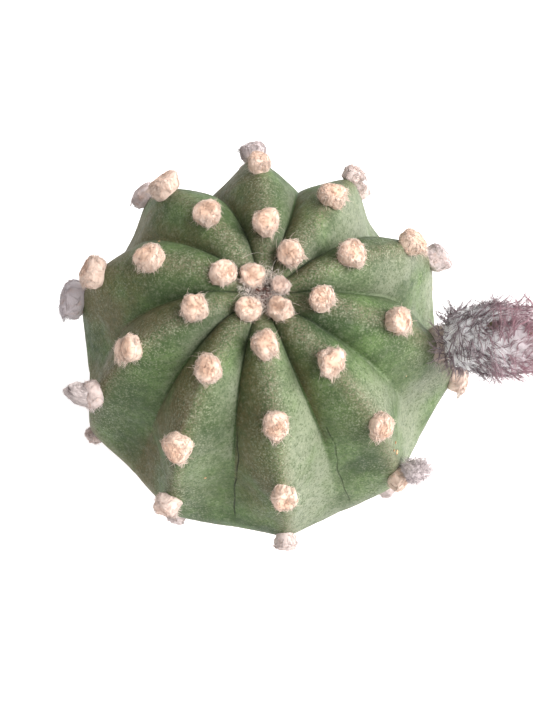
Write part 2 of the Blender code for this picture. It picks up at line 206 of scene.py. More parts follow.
def turned(name, steps, outline):
    """A closed solid as a potter turns it, a disc drawn up through (radius, height), and its points."""
    bpy.ops.object.select_all(action="DESELECT")
    radius, height = outline[0]
    bpy.ops.mesh.primitive_circle_add(vertices=steps, radius=radius, fill_type="NGON",
                                      location=(0, 0, height))
    solid = bpy.context.object
    solid.name = name
    solid.data.name = name
    bpy.ops.object.transform_apply(location=True)
    bpy.ops.object.mode_set(mode="EDIT")
    bpy.ops.mesh.select_all(action="SELECT")
    for (before, low), (after, high) in zip(outline, outline[1:]):
        bpy.ops.mesh.extrude_region_move(TRANSFORM_OT_translate={"value": (0, 0, high - low)})
        share = after / before
        bpy.ops.transform.resize(value=(share, share, 1), center_override=(0, 0, high))
    bpy.ops.mesh.select_all(action="SELECT")
    bpy.ops.mesh.normals_make_consistent(inside=False)
    bpy.ops.object.mode_set(mode="OBJECT")
    return solid, points_of(solid.data)


def move_points(mesh, points):
    mesh.vertices.foreach_set("co", np.asarray(points, float).ravel())
    mesh.update()


def uneven(points, size):
    """Smooth unevenness from -1 to 1 whose lumps have this size."""
    return np.array([noise.noise(Vector(point) / size) for point in points])


def times(first, second):
    return add_node("ShaderNodeMath", {0: first, 1: second}, operation="MULTIPLY").outputs[0]


def layered(colour, *layers):
    """A colour under thin coats: where each shows, in what patches, how strongly, and its colour."""
    for where, patches, strength, coat in layers:
        colour = blended(times(times(where, patches), strength), colour, coat)
    return colour


def bumped(shader, height, distance, before=None):
    """Relief of a height in metres on the shader's surface."""
    inputs = {"Height": height, "Distance": distance, "Strength": 1.0}
    if before is not None:
        inputs["Normal"] = before
    normal = add_node("ShaderNodeBump", inputs).outputs["Normal"]
    painted(shader, normal, "Normal")
    return normal


def finish_piece(piece, material, slot, *nodes):
    """Give a finished piece its material, the body it rides on and the CAD nodes it stands for."""
    piece.data.materials.clear()
    piece.data.materials.append(material)
    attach(piece, "root")
    if nodes:
        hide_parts(*nodes)


def wall_radius(height):
    top = RIM_RADIUS - BAND_STEP
    return FOOT_RADIUS + (top - FOOT_RADIUS) * height / (POT_HEIGHT - BAND_HEIGHT)


def bore_radius(height):
    foot = FOOT_RADIUS - WALL
    return foot + (RIM_RADIUS - WALL - foot) * (height - FLOOR_THICKNESS) / (POT_HEIGHT - FLOOR_THICKNESS)


def arc_stations(radius, height, size, start, end, count=4):
    """Stations of a rounded corner, its centre at radius and height."""
    turns = np.radians(np.linspace(start, end, count))
    return [(radius + size * math.cos(turn), height + size * math.sin(turn)) for turn in turns]


band_bottom = POT_HEIGHT - BAND_HEIGHT
foot_corner = arc_stations(FOOT_RADIUS - LIP, LIP, LIP, -90, 0)
wall_heights = np.linspace(LIP, band_bottom, WALL_RINGS)[1:]
outer_wall = [(wall_radius(height), height) for height in wall_heights]
band_foot = arc_stations(RIM_RADIUS - LIP, band_bottom + LIP, LIP, -90, 0)
band_heights = np.linspace(band_bottom + LIP, POT_HEIGHT - LIP, BAND_RINGS)[1:-1]
band_wall = [(RIM_RADIUS, height) for height in band_heights]
rim = arc_stations(RIM_RADIUS - LIP, POT_HEIGHT - LIP, LIP, 0, 90)
rim += arc_stations(RIM_RADIUS - WALL + LIP, POT_HEIGHT - LIP, LIP, 90, 180)
bore_heights = np.linspace(POT_HEIGHT - LIP, FLOOR_THICKNESS + LIP, WALL_RINGS)[1:]
bore = [(bore_radius(height), height) for height in bore_heights]
bore_foot = [(bore_radius(FLOOR_THICKNESS) - LIP, FLOOR_THICKNESS)]
pot_line = foot_corner + outer_wall + band_foot + band_wall + rim + bore + bore_foot
pot, clay_points = turned("clay_pot", POT_STEPS, pot_line)
spread = np.hypot(clay_points[:, 0], clay_points[:, 1])
rings = np.sin(clay_points[:, 2] / THROWING_PITCH * math.tau) * THROWING_RING
rings += uneven(clay_points, SAG_SIZE) * OUT_OF_ROUND + uneven(clay_points, DENT_SIZE) * THROWING_RING
on_wall = (clay_points[:, 2] > LIP) & (spread > FOOT_RADIUS - WALL + LIP)
clay_points[:, :2] *= (1 + np.where(on_wall, rings, 0) / np.maximum(spread, MM))[:, None]
move_points(pot.data, clay_points)
for number in range(DRAINS):
    turn = math.tau * (number + 0.25) / DRAINS
    bpy.ops.mesh.primitive_cylinder_add(vertices=DRAIN_STEPS, radius=DRAIN_RADIUS, depth=FLOOR_THICKNESS * 3,
                                        location=(DRAIN_CIRCLE * math.cos(turn),
                                                  DRAIN_CIRCLE * math.sin(turn), 0))
    drill = bpy.context.object
    select_only(pot)
    hole = pot.modifiers.new("drain", "BOOLEAN")
    hole.operation = "DIFFERENCE"
    hole.solver = "EXACT"
    hole.object = drill
    bpy.ops.object.modifier_apply(modifier="drain")
    bpy.data.objects.remove(drill)
bpy.ops.object.shade_smooth_by_angle(angle=math.radians(40))

clay, shader, coords = new_material("red_clay", 0.88, Specular_IOR_Level=0.25)
height_of = add_node("ShaderNodeSeparateXYZ", {0: coords}).outputs["Z"]
tone = blended(ramp(rough(coords, 38, 6), 0.35, 0.68), CLAY_RED, CLAY_PALE)
damp = ramp(height_of, DAMP_BELOW, SOAKED_BELOW)
bloom = ramp(rough(coords, 26, 7, 0.65, 0.6), 0.50, 0.66)
tone = layered(tone,
               (1, ramp(rough(coords, 900, 2), 0.62, 0.72), 0.6, CLAY_DARK),
               (damp, ramp(rough(coords, 60, 4), 0.3, 0.6), 0.5, CLAY_DARK),
               (bloom, ramp(rough(coords, 420, 4, 0.7), 0.38, 0.62, 0.15, 0.85), 1, LIME))
painted(shader, tone)
grain = bumped(shader, rough(coords, 1800, 3), 0.10 * MM)
bumped(shader, rough(coords, 260, 4), 0.18 * MM, grain)
finish_piece(pot, clay, "clay", "pot")

# Soil. A gritty mix of peat, sand and crushed pumice fills the pot up to 4 mm below its rim. It has
# a hollow that the plant sits in, and loose stones lie on top of it round the plant.
SOIL_BELOW_RIM = 4 * MM
SOIL_TOP = POT_HEIGHT - SOIL_BELOW_RIM
SOIL_STEPS = 160
SOIL_RINGS = 9
SOIL_GAP = 0.4 * MM
HOLLOW_RADIUS = 28.2 * MM
# Side of the hollow: how far in from its edge, and how high
HOLLOW_SIDE = ((3.5 * MM, 69.0 * MM), (9 * MM, 66.8 * MM))
ROOT_HOLE = 7.0 * MM
ROOT_HOLE_TOP = 64.2 * MM
ROOT_HOLE_FLOOR = 41.2 * MM
SOIL_LUMP = 0.9 * MM
SOIL_LUMP_SIZE = 2.6 * MM
SOIL_CRUMB_SIZE = 1.1 * MM
# Rounding of the bed's upper edge: how far in, and how far down
BED_EDGE = ((0.5 * MM, 2 * MM), (0, 0.6 * MM))
TOP_MARGIN, EDGE_MARGIN = 0.1 * MM, 0.3 * MM
GRIT_COUNT = 460
GRIT_LEAST, GRIT_MOST = 0.45 * MM, 1.45 * MM
PEAT = (0.050, 0.031, 0.020)
SAND = (0.155, 0.105, 0.067)
PUMICE = (0.52, 0.47, 0.40)
LAVA = (0.16, 0.06, 0.04)


def read(coords, name):
    """A value stored on the mesh under this name."""
    stored = coords.id_data.nodes.new("ShaderNodeAttribute")
    stored.attribute_name = name
    return stored.outputs["Fac"]


def store(mesh, **values):
    """Keep values for the material on the mesh's points."""
    for name, numbers in values.items():
        layer = mesh.attributes.new(name, "FLOAT", "POINT")
        layer.data.foreach_set("value", np.asarray(numbers, np.float32).ravel())


def ball(name, **detail):
    """A ball of radius 1 and its points: evenly faced where subdivisions are given, otherwise a globe."""
    bpy.ops.object.select_all(action="DESELECT")
    if "subdivisions" in detail:
        bpy.ops.mesh.primitive_ico_sphere_add(radius=1, **detail)
    else:
        bpy.ops.mesh.primitive_uv_sphere_add(radius=1, **detail)
    piece = bpy.context.object
    piece.name = name
    return piece, points_of(piece.data)


def copied(piece):
    """A copy with a mesh of its own."""
    copy = piece.copy()
    copy.data = piece.data.copy()
    bpy.context.scene.collection.objects.link(copy)
    return copy


def joined(name, pieces):
    """Several pieces as one."""
    select_only(*pieces)
    bpy.ops.object.join()
    bpy.context.object.name = name
    bpy.context.object.data.name = name
    return bpy.context.object


soil_bottom = FLOOR_THICKNESS + SOIL_GAP
bed_edge = bore_radius(SOIL_TOP) - SOIL_GAP - OUT_OF_ROUND
bed = [(bore_radius(soil_bottom) - LIP - SOIL_GAP, soil_bottom)]
bed += [(bed_edge - inset, SOIL_TOP - depth) for inset, depth in BED_EDGE]
bed += [(radius, SOIL_TOP) for radius in np.linspace(bed_edge - BED_EDGE[0][0], HOLLOW_RADIUS, SOIL_RINGS)]
bed += [(HOLLOW_RADIUS - inset, height) for inset, height in HOLLOW_SIDE]
bed += [(ROOT_HOLE, ROOT_HOLE_TOP), (ROOT_HOLE, ROOT_HOLE_FLOOR)]
soil, soil_points = turned("soil_bed", SOIL_STEPS, bed)
spread = np.hypot(soil_points[:, 0], soil_points[:, 1])
on_top = (soil_points[:, 2] > SOIL_TOP - TOP_MARGIN) & (spread > HOLLOW_RADIUS + EDGE_MARGIN)
lumps = uneven(soil_points, SOIL_LUMP_SIZE) + 0.7 * uneven(soil_points, SOIL_CRUMB_SIZE)
soil_points[:, 2] += np.where(on_top, lumps * SOIL_LUMP, 0)
move_points(soil.data, soil_points)
bpy.ops.object.shade_smooth_by_angle(angle=math.radians(60))

earth, shader, coords = new_material("gritty_soil", 0.95, Specular_IOR_Level=0.2)
crumb = blended(ramp(rough(coords, 700, 4), 0.45, 0.62), PEAT, SAND)
crumb = blended(ramp(rough(coords, 1500, 2), 0.66, 0.72), crumb, PUMICE)
painted(shader, crumb)
bumped(shader, rough(coords, 1100, 5), 0.45 * MM)
finish_piece(soil, earth, "soil", "soil")

rng = np.random.default_rng(11)
pebble, pebble_points = ball("pebble", subdivisions=1)
stones = []
for number in range(GRIT_COUNT):
    stone = copied(pebble)
    size = GRIT_LEAST + (GRIT_MOST - GRIT_LEAST) * rng.random() ** 2
    shape = pebble_points * rng.uniform(0.6, 1.0, 3) * rng.uniform(0.8, 1.15, (len(pebble_points), 1))
    turn = np.linalg.qr(rng.normal(size=(3, 3)))[0]
    turn *= np.sign(np.linalg.det(turn))
    around = rng.uniform(0, math.tau)
    out = rng.uniform(HOLLOW_RADIUS + size, bed_edge - size)
    place_at = (out * math.cos(around), out * math.sin(around), SOIL_TOP + size * rng.uniform(0.1, 0.6))
    move_points(stone.data, shape @ turn * size + place_at)
    store(stone.data, tint=np.full(len(pebble_points), rng.random()))
    stones.append(stone)
bpy.data.objects.remove(pebble)
grit = joined("soil_grit", stones)
gravel, shader, coords = new_material("crushed_stone", 0.9, Specular_IOR_Level=0.25)
kind = read(coords, "tint")
stone_colour = layered(blended(ramp(kind, 0.30, 0.34), LAVA, PUMICE),
                       (1, ramp(kind, 0.72, 0.76), 1, SAND),
                       (1, ramp(rough(coords, 2200, 3), 0.4, 0.75), 0.7, SAND))
painted(shader, stone_colour)
bumped(shader, rough(coords, 2600, 4), 0.15 * MM)
finish_piece(grit, gravel, "soil")

# Stem. The globe of the plant grew as one piece, with ten ribs that meet in a sunken crown. Its
# green skin is waxy, with fine white scurf, corky at its foot, and it sits on a thick taproot.
RIBS = 10
GIRTH_RADIUS = 48 * MM
CROWN_HEIGHT = 38.5 * MM
FOOT_DEPTH = 35.3 * MM
CROWN_FULLNESS = 0.53
CROWN_FALL = 1.48
CROWN_DIP = 3.2 * MM
CROWN_DIP_ANGLE = 0.045
CROWN_SHIFT = (-0.4 * MM, -0.9 * MM)
CROWN_SHIFT_RADIUS = 14 * MM
FIRST_RIB = 97.0
RIB_WANDER = (-1.5, -1.5, -1, -0.5, -0.5, 0, 2.5, 3.5, 1, -1)
CROWN_TWIST = 9.0
TWIST_FADE = 1.4
# Depth of the valleys between the ribs: angle from the crown in degrees, depth in mm
VALLEY_DEPTH = ((0, 0), (4, 2.6), (8, 4.4), (14, 5.9), (24, 6.9), (40, 7.5), (60, 7.3), (90, 3.3), (106, 0.7),
                (130, 2.5), (150, 1.6), (165, 0), (180, 0))
# How far a rib's flanks are drawn in towards a sharp crest, by the same angle
RIB_EDGE = ((0, 0), (30, 0.45), (60, 0.95), (90, 0.85), (180, 0.85))
VALLEY_SHARE = (0.95, 1.2, 1.05, 0.9, 1.05, 0.9, 1.1, 1.0, 0.75, 0.95)
CREST_ROUNDING = 0.08
LOBE_ROUNDING = 0.96
EASING = 2.5 * MM
SEGMENTS_PER_RIB = 38
STEM_RINGS = 170
# Points of the crest line as drawn, as spaced evenly, and as averaged to smooth it
CREST_POINTS, EVEN_POINTS, SMOOTHED_POINTS = 4000, 1400, 41
FIRST_AREOLE = (14.1, 10, 3.9, 13.1, 6.2, 14.4, 6.2, 15.6, 9.5, 4.2)
AREOLE_SPACING = 16.0
SPACING_GROWTH = 1.6
AREOLES = 6
# How far some areoles sit off that even spacing, in mm, by rib and number down the rib
AREOLE_SHIFT = {(0, 1): 2.0, (0, 2): -2.0, (4, 3): 3.5, (5, 3): 3.5, (6, 3): 2.0, (7, 3): 8.0, (8, 3): -1.5}
AREOLE_RISE = 0.55 * MM
AREOLE_RISE_SIZE = 4.5 * MM
AREOLE_RISE_SHARE = 0.4
FLAT_CROWN = 20 * MM
# Unevenness of the skin: how high and how wide its lumps are
SKIN_LUMPS = ((0.35 * MM, 13 * MM), (0.14 * MM, 4.5 * MM), (0.05 * MM, 1.8 * MM))
CALM_CROWN = 12 * MM
# Cracks along two valleys: valley counted in ribs, start and end in mm from the crown, how dark
CRACKS = ((5.46, 37, 66, 0.8), (4.42, 40, 68, 0.4))
# Waves of a crack: how wide in mm, how long, and where they start
CRACK_WAVES = ((0.30, 4.1 * MM, 0), (0.12, 1.3 * MM, 2))
# Sides of the ribs painted olive as painted shade and grey-green as painted light, by the way they face
SHADED_FACING = (-0.95, 0.12)
LIT_FACING = (0.80, -0.3)
DARK_GREEN = (0.042, 0.072, 0.026)
VALLEY_SHADE_GREEN = (0.030, 0.044, 0.020)
MID_GREEN = (0.090, 0.128, 0.049)
BRIGHT_GREEN = (0.120, 0.188, 0.066)
GREY_GREEN = (0.275, 0.292, 0.208)
SHADE_OLIVE = (0.134, 0.103, 0.044)
CREST_BROWN = (0.190, 0.158, 0.105)
SCURF = (0.46, 0.47, 0.33)
CORK = (0.260, 0.190, 0.120)
CRACK_COLOUR = (0.030, 0.035, 0.018)
CREASE_SHADE = (0.014, 0.018, 0.009)


def unit(vectors):
    return vectors / np.maximum(np.linalg.norm(vectors, axis=-1, keepdims=True), 1e-12)


def crest_line():
    """Arc lengths from the crown to the foot, with the crest's radius, height and normal there."""
    angles = np.linspace(0, math.pi, CREST_POINTS)
    sine = np.clip(np.sin(angles), 0, 1)
    cosine = np.cos(angles)
    dip = CROWN_DIP * np.exp(-(angles / CROWN_DIP_ANGLE) ** 2)
    upper = cosine > 0
    radius = GIRTH_RADIUS * np.where(upper, sine ** CROWN_FULLNESS, sine)
    height = np.where(upper, CROWN_HEIGHT * np.clip(cosine, 0, 1) ** CROWN_FALL - dip, FOOT_DEPTH * cosine)
    length = np.concatenate([[0], np.cumsum(np.hypot(np.diff(radius), np.diff(height)))])
    even = np.linspace(0, length[-1], EVEN_POINTS)
    window = np.hanning(SMOOTHED_POINTS)
    window /= window.sum()
    half = len(window) // 2
    lines = []
    for values, sign in ((radius, -1), (height, 1)):
        line = np.interp(even, length, values)
        line = np.concatenate([sign * line[half:0:-1], line, sign * line[-2:-half - 2:-1]])
        lines.append(np.convolve(line, window, "valid"))
    outward, up = -np.gradient(lines[1]), np.gradient(lines[0])
    size = np.hypot(outward, up)
    return even, np.array([*lines, outward / size, up / size]), np.interp(even, length, angles)


CREST_LENGTHS, CREST, CREST_ANGLES = crest_line()
CREST_TOTAL = CREST_LENGTHS[-1]


def crest_at(length):
    return [np.interp(length, CREST_LENGTHS, line) for line in CREST]


def stations(table, length):
    """A value read from (degrees, value) stations, eased where two slopes meet."""
    degrees, values = zip(*table)
    line = np.interp(np.degrees(CREST_ANGLES), degrees, values)
    shifts = np.linspace(-EASING, EASING, 9)
    return sum(np.interp(np.abs(length + shift), CREST_LENGTHS, line) for shift in shifts) / len(shifts)


def azimuth_at(turn, radius):
    """Azimuth of a place counted in ribs clockwise, with the crown's slight twist."""
    rib = np.floor(turn).astype(int)
    share = turn - rib
    wander = np.array(RIB_WANDER)
    drift = wander[rib % RIBS] * (1 - share) + wander[(rib + 1) % RIBS] * share
    twist = CROWN_TWIST * np.clip(1 - radius / GIRTH_RADIUS, 0, 1) ** TWIST_FADE
    return np.radians(FIRST_RIB - 360 / RIBS * turn + drift - twist)


def place(radius, height, azimuth):
    """Points of the plant from radius, height above the equator and azimuth."""
    shift = np.exp(-(radius / CROWN_SHIFT_RADIUS) ** 2)
    return np.stack([radius * np.cos(azimuth) + CROWN_SHIFT[0] * shift,
                     radius * np.sin(azimuth) + CROWN_SHIFT[1] * shift, EQUATOR + height], -1)


def areole_length(rib, number):
    """How far down its rib an areole sits, along the crest."""
    shift = AREOLE_SHIFT.get((rib, number), 0)
    wider = SPACING_GROWTH * number * (number - 1) / 2
    return (FIRST_AREOLE[rib] + AREOLE_SPACING * number + wider + shift) * MM


def stem_surface(length, turn):
    """Points of the ribbed skin, and how far each is from its crest towards the valley."""
    radius, height, outward, up = crest_at(length)
    rib = np.floor(turn).astype(int) % RIBS
    towards_valley = 1 - np.abs(2 * (turn - np.floor(turn)) - 1)
    rounded = np.sqrt(towards_valley ** 2 + CREST_ROUNDING ** 2) - CREST_ROUNDING
    rounded /= math.sqrt(1 + CREST_ROUNDING ** 2) - CREST_ROUNDING
    edge = stations(RIB_EDGE, length)
    lobe = (1 - np.sqrt(1 - (LOBE_ROUNDING * rounded) ** 2)) / (1 - math.sqrt(1 - LOBE_ROUNDING ** 2))
    fall = (1 - edge) * lobe + edge * np.sin(rounded * math.pi / 2)
    depth = stations(VALLEY_DEPTH, length) * MM * np.array(VALLEY_SHARE)[rib] * fall
    nearest = np.round(turn).astype(int) % RIBS
    for number in range(AREOLES):
        from_areole = length - np.array([areole_length(r, number) for r in range(RIBS)])[nearest]
        lift = np.exp(-(from_areole / AREOLE_RISE_SIZE) ** 2 - (towards_valley / AREOLE_RISE_SHARE) ** 2)
        depth = depth - AREOLE_RISE * lift * np.clip(length / FLAT_CROWN, 0, 1)
    points = place(np.maximum(radius - outward * depth, 0), height - up * depth, azimuth_at(turn, radius))
    return points, towards_valley


stem, ball_points = ball("cactus_stem", segments=RIBS * SEGMENTS_PER_RIB, ring_count=STEM_RINGS)
length = CREST_TOTAL * np.arccos(np.clip(ball_points[:, 2], -1, 1)) / math.pi
segment = np.round(np.arctan2(ball_points[:, 1], ball_points[:, 0]) / math.tau * RIBS * SEGMENTS_PER_RIB)
turn = -segment / SEGMENTS_PER_RIB
stem_points, towards_valley = stem_surface(length, turn)
outward = unit(stem_points - np.array([0, 0, EQUATOR]))
relief = sum(height * uneven(stem_points, size) for height, size in SKIN_LUMPS)
stem_points += outward * (relief * np.clip(length / CALM_CROWN, 0, 1))[:, None]
move_points(stem.data, stem_points)
select_only(stem)
bpy.ops.object.mode_set(mode="EDIT")
bpy.ops.mesh.select_all(action="SELECT")
bpy.ops.mesh.normals_make_consistent(inside=False)
bpy.ops.object.mode_set(mode="OBJECT")
bpy.ops.object.shade_smooth()
radius = np.hypot(stem_points[:, 0], stem_points[:, 1])
rib_half = math.pi * radius / RIBS
normals = np.zeros(len(stem_points) * 3)
stem.data.vertex_normals.foreach_get("vector", normals)
normals = normals.reshape(-1, 3)
for number, (valley, start, end, _) in enumerate(CRACKS):
    wobble = sum(width * np.sin(length / size + begin) for width, size, begin in CRACK_WAVES)
    beside = ((turn - valley + RIBS / 2) % RIBS - RIBS / 2) * 2 * rib_half / MM - wobble
    beyond = np.maximum(np.maximum(start - length / MM, length / MM - end), 0)
    store(stem.data, **{f"crack_{number}": beside, f"past_end_{number}": beyond})
store(stem.data, valley=towards_valley, from_crest=towards_valley * rib_half / MM,
      from_valley=(1 - towards_valley) * rib_half / MM, age=length / CREST_TOTAL,
      shaded_side=np.clip(normals[:, :2] @ SHADED_FACING, 0, 1),
      lit_side=np.clip(normals[:, :2] @ LIT_FACING, 0, 1))

skin, shader, coords = new_material("green_skin", 0.6, Specular_IOR_Level=0.22)
age = read(coords, "age")
from_crest = read(coords, "from_crest")
from_valley = read(coords, "from_valley")
mottle = rough(coords, 820, 2, 0.6)
patchy = times(ramp(rough(coords, 95, 4), 0.30, 0.68, 0.45, 1.0),
               ramp(read(coords, "valley"), 0.30, 0.75, 1.0, 0.40))
cells = add_node("ShaderNodeTexVoronoi", {"Vector": coords, "Scale": 950.0}).outputs["Distance"]
green = blended(ramp(rough(coords, 52, 4), 0.34, 0.66), DARK_GREEN, MID_GREEN)
green = layered(
    green,
    (1, ramp(rough(coords, 75, 5, 0.6, 0.4), 0.42, 0.70), 1, BRIGHT_GREEN),
    # Flanks that face the light are painted paler grey-green, as painted light, and flanks that face away are
    # painted olive, as painted shade.
    (ramp(read(coords, "lit_side"), 0.22, 0.85), ramp(rough(coords, 60, 4), 0.3, 0.6),
     0.8, GREY_GREEN),
    (ramp(read(coords, "shaded_side"), 0.15, 0.65), ramp(rough(coords, 55, 5), 0.34, 0.56),
     0.85, SHADE_OLIVE),
    # Near the crown the skin is painted darker green towards the valleys, as painted shade.
    (ramp(from_valley, 3.0, 0.5), ramp(age, 0.22, 0.08), 0.45, VALLEY_SHADE_GREEN),
    (ramp(from_crest, 3.4, 0.4), ramp(rough(coords, 2600, 3, 0.7), 0.36, 0.60),
     0.75, CREST_BROWN),
    (1, ramp(mottle, 0.52, 0.36), 0.32, DARK_GREEN),
    (1, ramp(mottle, 0.52, 0.68), 0.20, GREY_GREEN),
    (ramp(age, 0.76, 0.90), ramp(rough(coords, 110, 6, 0.65), 0.34, 0.56), 1, CORK),
    (patchy, ramp(rough(coords, 2500, 2, 0.6, 0.6), 0.50, 0.66), 0.46, SCURF),
    (1, ramp(rough(coords, 1900, 2, 0.6), 0.47, 0.36), 0.55, DARK_GREEN),
    (ramp(cells, 0.24, 0.10), ramp(rough(coords, 420, 3), 0.50, 0.60), 0.16, SCURF),
    # A near-black line is painted along the valley bottoms near the crown, as painted shade in the creases.
    (ramp(from_valley, 0.30, 0.05), ramp(age, 0.20, 0.08), 0.55, CREASE_SHADE))
relief = bumped(shader, rough(coords, 480, 4), 0.10 * MM)
relief = bumped(shader, rough(coords, 1250, 3, 0.7), 0.09 * MM, relief)
for number, (*_, darkness) in enumerate(CRACKS):
    beside = add_node("ShaderNodeMath", {0: read(coords, f"crack_{number}")}, operation="ABSOLUTE")
    split = times(ramp(beside.outputs[0], 0.28, 0.06),
                  ramp(read(coords, f"past_end_{number}"), 4.0, 0.0))
    split = times(split, ramp(rough(coords, 300, 3), 0.38, 0.50, 0.35, 1.0))
    green = blended(times(split, darkness), green, CRACK_COLOUR)
    relief = bumped(shader, ramp(split, 0.0, 1.0, 1.0, 0.0), 0.2 * MM, relief)
painted(shader, green)
painted(shader, ramp(rough(coords, 420, 4), 0.3, 0.7, 0.58, 0.78), "Roughness")
finish_piece(stem, skin, "green_skin", "cactus_body")

ROOT_STEPS, ROOT_RINGS = 28, 30
ROOT_RADIUS = 6.5 * MM
ROOT_TIP_RADIUS = 2.5 * MM
ROOT_LENGTH = 28 * MM
ROOT_SUNK = 5 * MM
ROOT_LUMP, ROOT_LUMP_SIZE = 0.08, 3 * MM


def two_tone(name, roughness, patches, first, second, relief):
    """A material of two colours in patches, given as scale, detail, start and end, with some relief."""
    material, shader, coords = new_material(name, roughness)
    scale, detail, start, end = patches
    painted(shader, blended(ramp(rough(coords, scale, detail), start, end), first, second))
    scale, detail, height = relief
    bumped(shader, rough(coords, scale, detail), height)
    return material


root_top = EQUATOR - FOOT_DEPTH + ROOT_SUNK
root_line = []
for share in np.linspace(1, 0, ROOT_RINGS):
    thick = ROOT_TIP_RADIUS + (ROOT_RADIUS - ROOT_TIP_RADIUS) * (1 - share)
    thick *= 1 - 0.06 * math.sin(share * 40) - 0.5 * max(share - 0.93, 0) / 0.07
    root_line.append((thick, root_top - ROOT_LENGTH * share))
root, root_points = turned("taproot", ROOT_STEPS, root_line)
root_points[:, :2] *= (1 + ROOT_LUMP * uneven(root_points, ROOT_LUMP_SIZE))[:, None]
move_points(root.data, root_points)
bpy.ops.object.shade_smooth_by_angle(angle=math.radians(50))
rind = two_tone("root_rind", 0.9, (500, 5, 0.4, 0.6), CORK, SAND, (700, 4, 0.3 * MM))
finish_piece(root, rind, "green_skin", "cactus_body")

# Scars. A few small orange-brown corky scabs where the skin was grazed, low on the front ribs.
# Each is one raised crumb of cork grown into the skin.

# Place of each: turn counted in ribs, mm from the crown, size in mm
SCARS = ((3.93, 54.5, 0.6), (3.90, 51.5, 0.35), (3.96, 51.8, 0.3), (6.03, 66.5, 0.6), (6.05, 64.2, 0.3),
         (5.75, 52.0, 0.3), (3.35, 44.0, 0.3), (1.70, 36.0, 0.25), (8.42, 30.0, 0.3))
SCAB_SHAPE = (0.75, 1.0, 0.32)
SCAB_ORANGE = (0.74, 0.50, 0.29)
SCAB_BROWN = (0.42, 0.23, 0.11)


def skin_frame(length, turn):
    """A point on the skin with its normal, the way down the rib and the way across it."""
    step = 0.4 * MM
    lengths = np.array([length, length + step, length, length])
    turns = np.array([turn, turn, turn - 0.02, turn + 0.02])
    centre, below, before, after = stem_surface(lengths, turns)[0]
    down = unit(below - centre)
    normal = unit(np.cross(before - after, centre - below))
    normal *= np.sign(normal @ (centre - np.array([0, 0, EQUATOR])))
    return centre, normal, down, np.cross(normal, down)


scabs = []
for turn, start, size in SCARS:
    centre, normal, down, across = skin_frame(start * MM, turn)
    scab, shape = ball("scab", subdivisions=3)
    shape = shape * (1 + 0.3 * uneven(shape + start, 0.6))[:, None]
    spread = shape * SCAB_SHAPE @ np.array([down, across, normal])
    move_points(scab.data, centre + spread * size * MM)
    scabs.append(scab)
scars = joined("skin_scars", scabs)
bpy.ops.object.shade_smooth()
scab_cork = two_tone("scab_cork", 0.8, (1600, 3, 0.4, 0.6), SCAB_BROWN, SCAB_ORANGE, (2500, 3, 0.1 * MM))
finish_piece(scars, scab_cork, "green_skin")

# Areole wool. Every areole carries a pad of cream wool in place of spines, matted like felt, with a
# beard that hangs forward. It is peach in its middle, and old wool turns grey and lavender.
WOOL_ACROSS = 3.0 * MM
WOOL_ALONG = 3.15 * MM
WOOL_PROUD = 2.4 * MM
WOOL_LIFT = 0.9 * MM
PAD_SHARE = 0.88
PAD_FLATNESS = 0.55
PAD_LUMPS = 0.06
PAD_DENT = 0.06
PAD_DENT_SIZE = 0.10
WOOL_OVER_RIM = 1.8
OLD_AREOLE = 4
OLD_WOOL = 0.8
HANG = (0.12, -1.0, -0.3)
HANG_DOWN_RIB = 0.45
BUD_RIB, BUD_AREOLE = 3, 2
YOUNG_RIB, YOUNG_AREOLE = 4, 3
WITHERED_RIB, WITHERED_AREOLE = 7, 2
# Greyness of the wool on the cushions listed, by rib and number down the rib
GREY_WOOL = {(0, 2): 0.85, (1, 2): 0.6, (2, 3): 0.75, (8, 3): 1.0, (9, 3): 0.75, (9, 2): 0.15, (0, 1): 0.1,
             (8, 2): 0.15, (6, 3): 0.35, (5, 4): 0.4, (7, 3): 0.6, (7, 2): 0.62, (4, 3): 0.12, (3, 3): 0.25,
             (2, 0): 0.3}
# Sizes of the cushions that are not of the common size
WOOL_SIZES = {(2, 0): 0.72, (4, 0): 0.92, (6, 0): 0.9, (9, 0): 0.92, (0, 2): 1.2, (8, 3): 1.6, (9, 2): 1.25,
              (9, 3): 1.2, (8, 2): 1.15, (2, 3): 1.3, (3, 3): 1.25, (7, 3): 0.8, (7, 2): 1.12}
CREAM = (0.88, 0.66, 0.53)
WHITE_WOOL = (0.90, 0.74, 0.635)
PEACH = (0.76, 0.485, 0.335)
LAVENDER = (0.62, 0.55, 0.57)
WOOL_SHADE = (0.56, 0.36, 0.27)
LOCKS_PER_PAD = 150
LOCK_FIBRES = 2
FRINGE_FIBRES = 150
BEARD_WISPS, CORNER_WISPS = 3, 4
WISP_FIBRES = 18
STRAY_FIBRES = 6
OLD_WOOL_DENSITY = 0.6
# Girths and lengths of the fibres in mm, least and most
FELT_GIRTH, LOOSE_GIRTH = (0.033, 0.056), (0.026, 0.043)
FRINGE_LENGTH, STRAY_LENGTH = (0.3, 1.25), (1.2, 2.6)
BEARD_LENGTH, CORNER_LENGTH = (0.8, 2.3), (0.4, 1.1)
WISP_SCATTER = 0.15 * MM
WISP_BOW = 0.12 * MM
FIBRE_STEPS = 4

Cushion = namedtuple("Cushion", "centre normal hang across size waves phases grey")


def lumpy(cushion, ways):
    """The reach of a cushion in each direction: lumps all over, and a dent in its middle."""
    reach = 1 + PAD_LUMPS * np.sin(ways @ cushion.waves + cushion.phases).sum(-1)
    return reach - PAD_DENT * np.exp((ways[..., 2] - 1) / PAD_DENT_SIZE)


def cushion_surface(cushion, ways, lift=0.0):
    """Points on a cushion for directions from its middle, given as hanging, across and out."""
    reach = (lumpy(cushion, ways) * cushion.size * PAD_SHARE + lift)[..., None]
    out = np.sign(ways[..., 2:]) * np.abs(ways[..., 2:]) ** PAD_FLATNESS
    offset = (ways[..., :1] * WOOL_ALONG * cushion.hang + ways[..., 1:2] * WOOL_ACROSS * cushion.across
              + out * WOOL_PROUD * cushion.normal)
    return cushion.centre + cushion.normal * WOOL_LIFT * cushion.size + offset * reach


